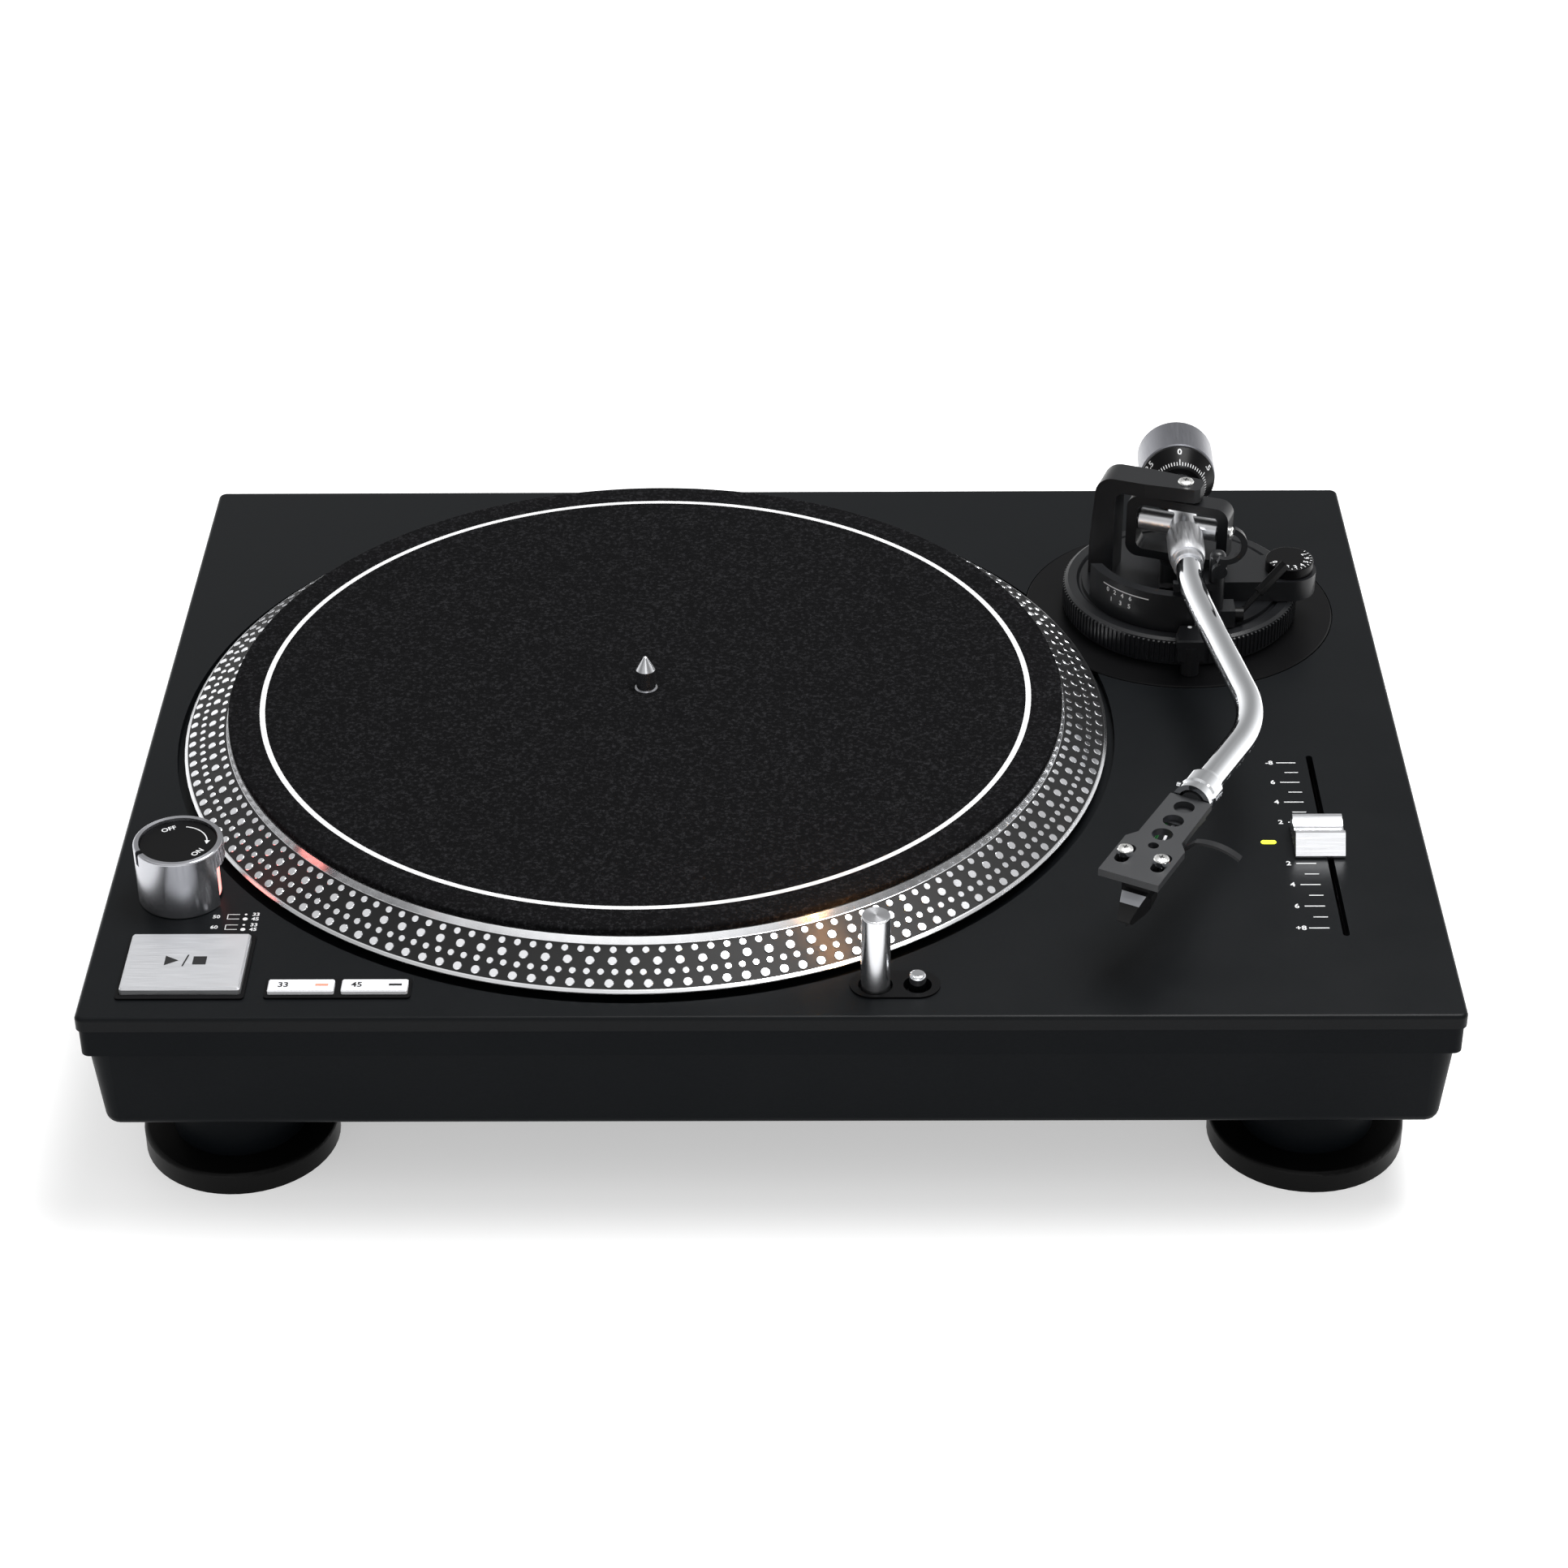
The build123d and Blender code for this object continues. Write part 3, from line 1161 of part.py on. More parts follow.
clip_inner = tube_radius + 0.7
clip_outer = clip_inner + 2.2
clip_reach = rest_post[0] + 0.9
clip_open = 112.0
clip_plane = Plane(origin=from_pivot(rest_post[0], clip_y, clip_pivot_height),
                   x_dir=(cos(radians(clip_open)), 0, -sin(radians(clip_open))), z_dir=(0, -1, 0))
tube_z = arm_axis_height - clip_pivot_height
with BuildPart() as arm_clip:
    with BuildSketch(clip_plane):
        with Locations((-clip_reach, tube_z)):
            Circle(clip_outer)
            Circle(clip_inner, mode=Mode.SUBTRACT)
            Rectangle(clip_outer * 2, clip_outer, align=(Align.CENTER, Align.MAX), mode=Mode.SUBTRACT)
        Circle(2.8)
        with Locations((-1, 0)):
            Rectangle(clip_reach - clip_inner - 1, 2.6, align=(Align.MAX, Align.CENTER))
        Circle(1.2 + running, mode=Mode.SUBTRACT)
    extrude(amount=2.4)

# Height lock lever, cue lever and the platform that lifts the tube
with BuildPart() as height_lock_lever:
    with BuildSketch(Plane(origin=from_pivot(*lock_place, lock_height))):
        with BuildLine():
            Polyline((-5.5, -2.7), (5.5, -2.7), (5.5, 3), (3.5, 9.2), (-3.5, 9.2), (-5.5, 3), close=True)
        make_face()
    extrude(amount=-lock_plate)
    chamfer(height_lock_lever.faces().sort_by(Axis.Z)[-1].edges(), 0.6)
    with BuildSketch(Plane(origin=from_pivot(*lock_place, lock_height - lock_plate))):
        Circle(lock_boss_radius)
    extrude(amount=-(lock_height - lock_plate - arm_board_proud - 2 * seat_gap))
    with Locations(from_pivot(lock_place[0], lock_place[1] - 2.7, lock_lip_bottom)):
        Box(10, 2.2, lock_height - lock_plate - lock_lip_bottom,
            align=(Align.CENTER, Align.MIN, Align.MIN))
    with BuildSketch(Plane(origin=from_pivot(*lock_place, 0))):
        Circle(lock_post_radius + running)
    extrude(amount=lock_height - 3, mode=Mode.SUBTRACT)

lever_start = from_pivot(cue_lever_pivot[0] + 1.6, cue_lever_pivot[1], cue_lever_pivot[2])
lever_tip = from_pivot(*cue_lever_tip)
lever_line = (lever_tip - lever_start).normalized()
with BuildPart() as cue_lever:
    with BuildSketch(Plane(origin=from_pivot(*cue_lever_pivot), x_dir=(0, 1, 0), z_dir=(1, 0, 0))):
        Circle(2.7)
    extrude(amount=3.2)
    with BuildSketch(Plane(origin=from_pivot(*cue_lever_pivot), x_dir=(0, 1, 0), z_dir=(1, 0, 0))):
        Circle(pivot_radius)
    extrude(amount=-3.6)
    with BuildSketch(Plane(origin=lever_start, z_dir=lever_line)):
        Circle(1.1)
    extrude(amount=(lever_tip - lever_start).length)
    with BuildSketch(Plane(origin=lever_start + lever_line * 11, z_dir=lever_line, x_dir=(0, 0, 1))):
        RectangleRounded(4.2, 2.6, 1.1)
    extrude(amount=(lever_tip - lever_start).length - 10)

with BuildPart() as cue_platform:
    with BuildSketch(Plane(origin=from_pivot(*cue_post, cue_bar_top))):
        Circle(2)
    extrude(amount=-(cue_bar_top - base_floor + cue_bore_depth - 0.5))
    with Locations(from_pivot(cue_post[0] - 3, cue_post[1], cue_bar_top)):
        Box(15, 3, 2.4, align=(Align.MIN, Align.CENTER, Align.MAX))

pieces = {
    "deck_plate": deck_plate, "plinth_band": plinth_band, "base_tub": base_tub,
    "case_screws": case_screws, "foot_housings": foot_housings, "foot_pads": foot_pads,
    "motor_board": motor_board, "stator_coils": stator_coils, "bearing_housing": bearing_housing,
    "bearing_bush": bearing_bush, "spindle": spindle, "rotor_magnet": rotor_magnet, "platter": platter,
    "slipmat": slipmat, "main_board": main_board, "power_transformer": power_transformer,
    "mains_inlet": mains_inlet, "phono_jacks": phono_jacks, "ground_terminal": ground_terminal,
    "start_stop_bezel": start_stop_bezel, "start_stop_button": start_stop_button,
    "speed_bezel": speed_bezel, "speed_button_33": speed_button_33, "speed_button_45": speed_button_45,
    "strobe_tower": strobe_tower, "strobe_lens": strobe_lens, "power_knob": power_knob,
    "power_switch": power_switch, "light_bezel": light_bezel, "target_light": target_light,
    "light_lens": light_lens, "light_button": light_button, "fader_body": fader_body,
    "fader_knob": fader_knob, "pitch_lamp": pitch_lamp, "arm_board": arm_board,
    "height_ring": height_ring, "arm_base": arm_base, "anti_skate_dial": anti_skate_dial,
    "gimbal_yoke": gimbal_yoke, "pivot_screws": pivot_screws, "gimbal_ring": gimbal_ring,
    "side_pivot_screws": side_pivot_screws, "arm_hub": arm_hub, "arm_tube": arm_tube,
    "locking_collar": locking_collar, "headshell": headshell, "finger_lift": finger_lift,
    "cartridge": cartridge, "stylus": stylus, "cartridge_screws": cartridge_screws,
    "headshell_leads": headshell_leads, "weight_sleeve": weight_sleeve, "counterweight": counterweight,
    "weight_dial": weight_dial, "arm_rest": arm_rest, "arm_clip": arm_clip,
    "height_lock_lever": height_lock_lever, "cue_lever": cue_lever, "cue_platform": cue_platform,
}

os.makedirs("parts", exist_ok=True)
for name, piece in pieces.items():
    piece.part.label = name
    export_step(piece.part, f"parts/{name}.step")
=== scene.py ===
"""Looks of a direct-drive record player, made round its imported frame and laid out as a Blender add-on."""

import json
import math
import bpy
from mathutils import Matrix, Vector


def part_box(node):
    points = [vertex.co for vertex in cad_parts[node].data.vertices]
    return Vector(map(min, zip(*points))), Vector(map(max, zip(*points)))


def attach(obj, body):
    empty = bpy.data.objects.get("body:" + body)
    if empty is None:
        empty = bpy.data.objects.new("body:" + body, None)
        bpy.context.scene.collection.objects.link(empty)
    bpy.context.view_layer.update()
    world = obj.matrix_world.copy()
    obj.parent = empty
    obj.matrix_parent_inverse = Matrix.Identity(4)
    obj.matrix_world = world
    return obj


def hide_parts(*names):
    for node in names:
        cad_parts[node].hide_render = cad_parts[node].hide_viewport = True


bl_info = {
    "name": "Record Player Looks",
    "version": (1, 0, 0),
    "blender": (4, 5, 0),
    "location": "View3D > Sidebar > Record Player",
    "description": "Finishes, printed marks and stage of a direct-drive record player",
    "category": "Object",
}

import bmesh
import bpy
from mathutils import Matrix, Vector

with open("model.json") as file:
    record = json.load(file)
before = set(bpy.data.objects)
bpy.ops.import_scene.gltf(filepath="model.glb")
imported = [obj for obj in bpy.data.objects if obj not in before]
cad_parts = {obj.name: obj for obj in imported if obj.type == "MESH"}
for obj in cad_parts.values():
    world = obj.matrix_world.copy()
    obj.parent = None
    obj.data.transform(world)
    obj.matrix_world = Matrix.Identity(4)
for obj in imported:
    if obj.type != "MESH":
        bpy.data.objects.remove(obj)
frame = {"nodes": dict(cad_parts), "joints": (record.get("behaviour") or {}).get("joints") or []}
NODES = frame["nodes"]
JOINTS = {joint["name"]: joint for joint in frame["joints"]}
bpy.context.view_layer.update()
MM = 0.001
UP = Vector((0, 0, 1))
# A print lies a hair above the face that carries it
PRINT_LIFT = 0.03 * MM
PRINT_DEPTH = 0.04 * MM
# Sockets of a Mix node that mixes colours: its two inputs and its output
FIRST, SECOND, MIXED = 6, 7, 2


def linear(text):
    """Linear RGB of an sRGB hex colour such as "#202123"."""
    channels = [int(text[i:i + 2], 16) / 255 for i in (1, 3, 5)]
    return [c / 12.92 if c <= 0.04045 else ((c + 0.055) / 1.055) ** 2.4 for c in channels]


def middle(node):
    """Middle of a CAD node's box at rest."""
    low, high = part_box(node)
    return (low + high) / 2


def top_of(node):
    """Point a print's lift above the middle of a CAD node's top."""
    center = middle(node)
    return Vector((center.x, center.y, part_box(node)[1].z + PRINT_LIFT))


DECK_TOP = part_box("deck_plate")[1].z
PLATTER = middle("platter")
ARM = middle("height_ring")
ARM_AXIS = Vector(JOINTS["weight_travel"]["axis"])
ARM_POINT = Vector(JOINTS["arm_lift"]["pos_m"])
SHELL_AXIS = Vector(JOINTS["collar_turn"]["axis"])
SHELL_POINT = Vector(JOINTS["collar_turn"]["pos_m"])


class PlayerColours(bpy.types.PropertyGroup):
    """Colours of the finishes."""

    deck: bpy.props.FloatVectorProperty(
        name="Deck", description="Textured paint of the deck", subtype="COLOR", default=linear("#0c0e10"))
    case: bpy.props.FloatVectorProperty(
        name="Case", description="Moulded plastic of the plinth", subtype="COLOR", default=linear("#080b0e"))
    satin: bpy.props.FloatVectorProperty(
        name="Satin", description="Enamel of the arm's metal", subtype="COLOR", default=linear("#131416"))
    felt: bpy.props.FloatVectorProperty(
        name="Felt", description="Wool of the slip mat", subtype="COLOR", default=linear("#0d0d0e"))
    ink: bpy.props.FloatVectorProperty(
        name="Ink", description="White printing", subtype="COLOR", default=linear("#d4d5d6"))
    metal: bpy.props.FloatVectorProperty(
        name="Metal", description="Bare aluminium of the platter", subtype="COLOR", default=linear("#e9eaec"))
    strobe: bpy.props.FloatVectorProperty(
        name="Strobe", description="Glow of the strobe lamp", subtype="COLOR", default=linear("#ff958e"))
    lamp: bpy.props.FloatVectorProperty(
        name="Lamp", description="Glow of the target light", subtype="COLOR", default=linear("#ffb468"))
    pitch: bpy.props.FloatVectorProperty(
        name="Pitch lamp", description="Glow of the pitch lamp", subtype="COLOR", default=linear("#dfe83a"))


class PlayerSizes(bpy.types.PropertyGroup):
    """Sizes of the marks and small forms."""

    ring_radius: bpy.props.FloatProperty(
        name="Mat ring", description="Middle radius of the mat's white ring",
        subtype="DISTANCE", default=137.5 * MM)
    ring_width: bpy.props.FloatProperty(
        name="Mat ring width", description="Width of the mat's white ring",
        subtype="DISTANCE", default=1.9 * MM)
    band_inner: bpy.props.FloatProperty(
        name="Strobe band inside", description="Inner radius of the black strobe band",
        subtype="DISTANCE", default=150.7 * MM)
    band_outer: bpy.props.FloatProperty(
        name="Strobe band outside", description="Outer radius of the black strobe band",
        subtype="DISTANCE", default=165.1 * MM)
    rib_count: bpy.props.IntProperty(
        name="Ribs", description="Ribs round the height ring", default=144)
    rib_width: bpy.props.FloatProperty(
        name="Rib width", description="Width of one rib", subtype="DISTANCE", default=1.1 * MM)
    letter: bpy.props.FloatProperty(
        name="Letter", description="Height of the deck's small numerals",
        subtype="DISTANCE", default=2.4 * MM)
    pitch_step: bpy.props.FloatProperty(
        name="Pitch step", description="Distance between two lines of the pitch scale",
        subtype="DISTANCE", default=6.3 * MM)


# Materials. Their sizes, such as grit, grain and depth, are in millimetres.


def add(tree, kind, settings=None, inputs=None):
    """Adds a shader node, sets its attributes, and gives its inputs values or links."""
    node = tree.nodes.new("ShaderNode" + kind)
    for name, value in (settings or {}).items():
        setattr(node, name, value)
    for key, value in (inputs or {}).items():
        if isinstance(value, bpy.types.NodeSocket):
            tree.links.new(value, node.inputs[key])
        else:
            node.inputs[key].default_value = value
    return node


def start(name, inputs):
    """A material of that name with one Principled shader, and its node tree."""
    material = bpy.data.materials.new(name)
    material.use_nodes = True
    tree = material.node_tree
    tree.nodes.clear()
    shader = add(tree, "BsdfPrincipled", inputs=inputs)
    add(tree, "OutputMaterial", inputs={"Surface": shader.outputs["BSDF"]})
    return material, tree, shader


def rgba(colour, share=1.0):
    """Four channels of a colour, darkened or lightened by a share."""
    return [*(min(c * share, 1.0) for c in colour), 1.0]


def skin(name, colour, grit, depth, rough, spread, specular):
    """A painted or moulded skin: fine grit in bump and tone, and gloss that changes in broad patches."""
    patch = 40
    darker, lighter = 0.8, 1.25
    material, tree, shader = start(name, {"Specular IOR Level": specular})
    place = add(tree, "TexCoord").outputs["Object"]
    fine = add(tree, "TexNoise", inputs={"Vector": place, "Scale": 1 / (grit * MM), "Detail": 2.0})
    broad = add(tree, "TexNoise", inputs={"Vector": place, "Scale": 1 / (patch * MM), "Detail": 3.0})
    gloss = add(tree, "MapRange", inputs={
        "Value": broad.outputs["Fac"], "From Min": 0.3, "From Max": 0.7,
        "To Min": rough - spread, "To Max": rough + spread})
    tone = add(tree, "Mix", {"data_type": "RGBA"}, {
        "Factor": fine.outputs["Fac"], FIRST: rgba(colour, darker), SECOND: rgba(colour, lighter)})
    bump = add(tree, "Bump", inputs={
        "Height": fine.outputs["Fac"], "Distance": depth * MM, "Strength": 0.6})
    tree.links.new(tone.outputs[MIXED], shader.inputs["Base Color"])
    tree.links.new(gloss.outputs["Result"], shader.inputs["Roughness"])
    tree.links.new(bump.outputs["Normal"], shader.inputs["Normal"])
    return material


def lathe_metal(name, colour, rough):
    """Turned metal: grooves round an upright axis, which draw each highlight out along that axis."""
    material, tree, shader = start(name, {
        "Metallic": 1.0, "Base Color": rgba(colour), "Roughness": rough,
        "Anisotropic": 0.85, "Anisotropic Rotation": 0.25})
    grain = add(tree, "Tangent", {"direction_type": "RADIAL", "axis": "Z"})
    tree.links.new(grain.outputs["Tangent"], shader.inputs["Tangent"])
    return material, tree, shader


def off_axis(tree, center):
    """Distance of the shaded point from the upright line through a point."""
    place = add(tree, "TexCoord").outputs["Object"]
    offset = add(tree, "VectorMath", {"operation": "SUBTRACT"}, {0: place, 1: center})
    flat = add(tree, "VectorMath", {"operation": "MULTIPLY"}, {0: offset.outputs[0], 1: (1, 1, 0)})
    return add(tree, "VectorMath", {"operation": "LENGTH"}, {0: flat.outputs[0]}).outputs["Value"]


def along_shell(tree, axis):
    """Distance of the shaded point from the headshell's joint, along an axis."""
    place = add(tree, "TexCoord").outputs["Object"]
    offset = add(tree, "VectorMath", {"operation": "SUBTRACT"}, {0: place, 1: SHELL_POINT})
    return add(tree, "VectorMath", {"operation": "DOT_PRODUCT"}, {
        0: offset.outputs[0], 1: axis}).outputs["Value"]


def between(tree, value, low, high):
    """One where a value lies between two limits, and nothing elsewhere."""
    over = add(tree, "Math", {"operation": "GREATER_THAN"}, {0: value, 1: low})
    under = add(tree, "Math", {"operation": "LESS_THAN"}, {0: value, 1: high})
    return add(tree, "Math", {"operation": "MULTIPLY"}, {
        0: over.outputs[0], 1: under.outputs[0]}).outputs[0]


def brushed_metal(name, colour, rough, grain, stretch):
    """Brushed metal: long fine scratches along one axis, which smear what it reflects."""
    scratch = 0.015
    smoother, rougher = 0.1, 0.12
    material, tree, shader = start(name, {"Metallic": 1.0, "Base Color": rgba(colour)})
    place = add(tree, "TexCoord").outputs["Object"]
    long = add(tree, "VectorMath", {"operation": "MULTIPLY"}, {0: place, 1: stretch})
    lines = add(tree, "TexNoise", inputs={
        "Vector": long.outputs[0], "Scale": 1 / (grain * MM), "Detail": 4.0})
    gloss = add(tree, "MapRange", inputs={
        "Value": lines.outputs["Fac"], "To Min": rough - smoother, "To Max": rough + rougher})
    bump = add(tree, "Bump", inputs={
        "Height": lines.outputs["Fac"], "Distance": scratch * MM, "Strength": 0.4})
    tree.links.new(gloss.outputs["Result"], shader.inputs["Roughness"])
    tree.links.new(bump.outputs["Normal"], shader.inputs["Normal"])
    return material


def polished(name, colour, rough):
    """Plated or polished metal: a clear mirror with faint smears."""
    smear_size = 9
    clear, smeared = 0.5, 1.6
    material, tree, shader = start(name, {"Metallic": 1.0, "Base Color": rgba(colour)})
    place = add(tree, "TexCoord").outputs["Object"]
    smear = add(tree, "TexNoise", inputs={"Vector": place, "Scale": 1 / (smear_size * MM), "Detail": 4.0})
    gloss = add(tree, "MapRange", inputs={
        "Value": smear.outputs["Fac"], "To Min": rough * clear, "To Max": rough * smeared})
    tree.links.new(gloss.outputs["Result"], shader.inputs["Roughness"])
    return material


def glowing(name, colour, strength):
    """Tinted clear plastic lit from behind: its own colour with an uneven glow."""
    patch = 6
    dimmer = 0.7
    material, tree, shader = start(name, {
        "Base Color": rgba(colour), "Roughness": 0.25, "Emission Strength": strength})
    place = add(tree, "TexCoord").outputs["Object"]
    uneven = add(tree, "TexNoise", inputs={"Vector": place, "Scale": 1 / (patch * MM)})
    glow = add(tree, "Mix", {"data_type": "RGBA"}, {
        "Factor": uneven.outputs["Fac"], FIRST: rgba(colour, dimmer), SECOND: rgba(colour)})
    tree.links.new(glow.outputs[MIXED], shader.inputs["Emission Color"])
    return material


def ink(name, colour):
    """Screen-printed ink: flat colour, slightly broken where it lies on the grit."""
    speck = 0.6
    thinner = 0.8
    material, tree, shader = start(name, {"Roughness": 0.5, "Specular IOR Level": 0.3})
    place = add(tree, "TexCoord").outputs["Object"]
    grit = add(tree, "TexNoise", inputs={"Vector": place, "Scale": 1 / (speck * MM)})
    tone = add(tree, "Mix", {"data_type": "RGBA"}, {
        "Factor": grit.outputs["Fac"], FIRST: rgba(colour, thinner), SECOND: rgba(colour)})
    tree.links.new(tone.outputs[MIXED], shader.inputs["Base Color"])
    return material


def felt_wool(colours, sizes):
    """Pressed wool felt: matt black with pale flecks, a soft nap and one printed ring."""
    # The fibres are finer than a pixel, so their tufts are drawn 1.3 mm wide
    tuft = 1.3
    nap_depth = 0.35
    material, tree, shader = start("pressed_wool_felt", {"Roughness": 0.95, "Specular IOR Level": 0.03})
    place = add(tree, "TexCoord").outputs["Object"]
    nap = add(tree, "TexNoise", inputs={
        "Vector": place, "Scale": 1 / (tuft * MM), "Detail": 5.0, "Roughness": 0.7})
    fleck = add(tree, "MapRange", inputs={"Value": nap.outputs["Fac"], "From Min": 0.5, "From Max": 0.75})
    wool = add(tree, "Mix", {"data_type": "RGBA"}, {
        "Factor": fleck.outputs["Result"], FIRST: rgba(colours.felt), SECOND: rgba(linear("#2b2b2d"))})
    half = sizes.ring_width / 2
    ring = between(tree, off_axis(tree, PLATTER), sizes.ring_radius - half, sizes.ring_radius + half)
    print_tone = add(tree, "Mix", {"data_type": "RGBA"}, {
        "Factor": nap.outputs["Fac"], FIRST: rgba(linear("#a9aaab")), SECOND: rgba(linear("#ececec"))})
    tone = add(tree, "Mix", {"data_type": "RGBA"}, {
        "Factor": ring, FIRST: wool.outputs[MIXED], SECOND: print_tone.outputs[MIXED]})
    bump = add(tree, "Bump", inputs={
        "Height": nap.outputs["Fac"], "Distance": nap_depth * MM, "Strength": 0.8})
    tree.links.new(tone.outputs[MIXED], shader.inputs["Base Color"])
    tree.links.new(bump.outputs["Normal"], shader.inputs["Normal"])
    return material


def banded_platter(colours, sizes):
    """Cast and turned aluminium, painted black on the cone that carries the strobe dots."""
    bare_rough, paint_rough = 0.26, 0.6
    material, tree, shader = lathe_metal("turned_cast_aluminium", colours.metal, bare_rough)
    band = between(tree, off_axis(tree, PLATTER), sizes.band_inner, sizes.band_outer)
    tone = add(tree, "Mix", {"data_type": "RGBA"}, {
        "Factor": band, FIRST: rgba(colours.metal), SECOND: rgba(linear("#0c0c0d"))})
    bare = add(tree, "MapRange", inputs={"Value": band, "To Min": 1.0, "To Max": 0.0})
    dull = add(tree, "MapRange", inputs={"Value": band, "To Min": bare_rough, "To Max": paint_rough})
    tree.links.new(tone.outputs[MIXED], shader.inputs["Base Color"])
    tree.links.new(bare.outputs["Result"], shader.inputs["Metallic"])
    tree.links.new(dull.outputs["Result"], shader.inputs["Roughness"])
    return material


def banded_nose():
    """Black acetal of the stylus holder, with a grey window on top of its nose."""
    window_from, window_to = 45.8, 49.4
    least_rise, over_all = 0.3, 2.0
    material, tree, shader = start("banded_acetal", {"Roughness": 0.35, "Specular IOR Level": 0.25})
    band = between(tree, along_shell(tree, SHELL_AXIS), window_from * MM, window_to * MM)
    facet = add(tree, "SeparateXYZ", inputs={0: add(tree, "NewGeometry").outputs["True Normal"]})
    window = add(tree, "Math", {"operation": "MULTIPLY"}, {
        0: band, 1: between(tree, facet.outputs["Z"], least_rise, over_all)})
    tone = add(tree, "Mix", {"data_type": "RGBA"}, {
        "Factor": window.outputs[0], FIRST: rgba(linear("#101011")), SECOND: rgba(linear("#a9abb0"))})
    tree.links.new(tone.outputs[MIXED], shader.inputs["Base Color"])
    return material


def striped_leads():
    """Four sleeved wires, told apart by where each lies across the headshell."""
    half_width = 5.6
    stops = ((0.0, "#2fa34a"), (0.25, "#e8e8ea"), (0.5, "#2b57b8"), (0.75, "#d8352a"))
    material, tree, shader = start("sleeved_wire", {"Roughness": 0.4})
    share = add(tree, "MapRange", inputs={
        "Value": along_shell(tree, SHELL_AXIS.cross(UP) * -1),
        "From Min": -half_width * MM, "From Max": half_width * MM})
    ramp = add(tree, "ValToRGB", inputs={"Fac": share.outputs["Result"]})
    ramp.color_ramp.interpolation = "CONSTANT"
    # A new ramp has two stops already
    for position, _ in stops[2:]:
        ramp.color_ramp.elements.new(position)
    for element, (position, colour) in zip(ramp.color_ramp.elements, stops):
        element.position = position
        element.color = rgba(linear(colour))
    tree.links.new(ramp.outputs["Color"], shader.inputs["Base Color"])
    return material


FINISHES = {}


def dress(name, *nodes):
    """Gives a finish to CAD nodes."""
    for node in nodes:
        NODES[node].data.materials.clear()
        NODES[node].data.materials.append(FINISHES[name])


# Meshes


def new_object(name, data):
    """An object that shows some data, linked to the scene."""
    item = bpy.data.objects.new(name, data)
    bpy.context.scene.collection.objects.link(item)
    return item


def mesh_piece(name, build, material, body, smooth=False):
    """A piece from a function that fills a bmesh, riding on a body."""
    mesh = bpy.data.meshes.new(name)
    shape = bmesh.new()
    build(shape)
    bmesh.ops.recalc_face_normals(shape, faces=shape.faces[:])
    shape.to_mesh(mesh)
    shape.free()
    if smooth:
        mesh.shade_smooth()
    mesh.materials.append(FINISHES[material])
    piece = new_object(name, mesh)
    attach(piece, body)
    return piece


def bridge(shape, lower, upper):
    """Adds a closed form's walls and two ends between two loops of as many vertices."""
    count = len(lower)
    shape.faces.new(lower[::-1])
    shape.faces.new(upper)
    for i in range(count):
        j = (i + 1) % count
        shape.faces.new((lower[i], lower[j], upper[j], upper[i]))


def plate(shape, outline, place, depth=PRINT_DEPTH):
    """Adds a thin closed plate: an outline of points in a plane, with a small thickness."""
    lower = [shape.verts.new(place @ Vector((x, y, 0))) for x, y in outline]
    upper = [shape.verts.new(place @ Vector((x, y, depth))) for x, y in outline]
    bridge(shape, lower, upper)


def oblong(width, height, x=0.0, y=0.0):
    """Corners of a rectangle round a point."""
    return [(x - width / 2, y - height / 2), (x + width / 2, y - height / 2),
            (x + width / 2, y + height / 2), (x - width / 2, y + height / 2)]


def disc(radius, count=20):
    """Points of a circle."""
    turns = [2 * math.pi * i / count for i in range(count)]
    return [(radius * math.cos(t), radius * math.sin(t)) for t in turns]


def arc_band(inner, outer, start_angle, end_angle, count=16):
    """Outline of a curved band between two angles, in degrees."""
    turns = [math.radians(start_angle + (end_angle - start_angle) * i / count) for i in range(count + 1)]
    back = [(inner * math.cos(t), inner * math.sin(t)) for t in turns[::-1]]
    return [(outer * math.cos(t), outer * math.sin(t)) for t in turns] + back


def words(name, text, height, place, material, body):
    """Printed text, centred on a place, as a thin mesh. The height of its capitals is in millimetres."""
    size_to_capital = 1.4
    boldness = 0.03
    curve = bpy.data.curves.new(name, "FONT")
    curve.body = text
    curve.size = height * MM * size_to_capital
    curve.align_x = "CENTER"
    curve.align_y = "CENTER"
    curve.extrude = PRINT_DEPTH / 2
    curve.offset = boldness * height * MM
    curve.resolution_u = 3
    source = bpy.data.objects.new(name + "_curve", curve)
    mesh = bpy.data.meshes.new_from_object(source)
    bpy.data.objects.remove(source)
    bpy.data.curves.remove(curve)
    mesh.transform(place)
    mesh.name = name
    mesh.materials.clear()
    mesh.materials.append(FINISHES[material])
    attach(new_object(name, mesh), body)


def on_deck(x, y):
    """Place on the deck's top, in millimetres from the frame's origin."""
    return Matrix.Translation(Vector((x * MM, y * MM, DECK_TOP + PRINT_LIFT)))


def facing(spot, up, normal):
    """Place whose local y is up and whose local z is the normal."""
    right = up.cross(normal).normalized()
    turn = Matrix((right, normal.cross(right), normal)).transposed().to_4x4()
    return Matrix.Translation(spot) @ turn


def outward(degrees):
    """Level direction at an angle from the frame's x axis."""
    turn = math.radians(degrees)
    return Vector((math.cos(turn), math.sin(turn), 0))


def spun(shape, profile, center, count):
    """Adds a turned shell: a closed profile of radius and height, round an upright axis."""
    rings = []
    for i in range(count):
        turn = 2 * math.pi * i / count
        rings.append([shape.verts.new((center.x + r * math.cos(turn), center.y + r * math.sin(turn), z))
                      for r, z in profile])
    for i in range(count):
        here = rings[i]
        there = rings[(i + 1) % count]
        for k in range(len(profile)):
            m = (k + 1) % len(profile)
            shape.faces.new((here[k], there[k], there[m], here[m]))


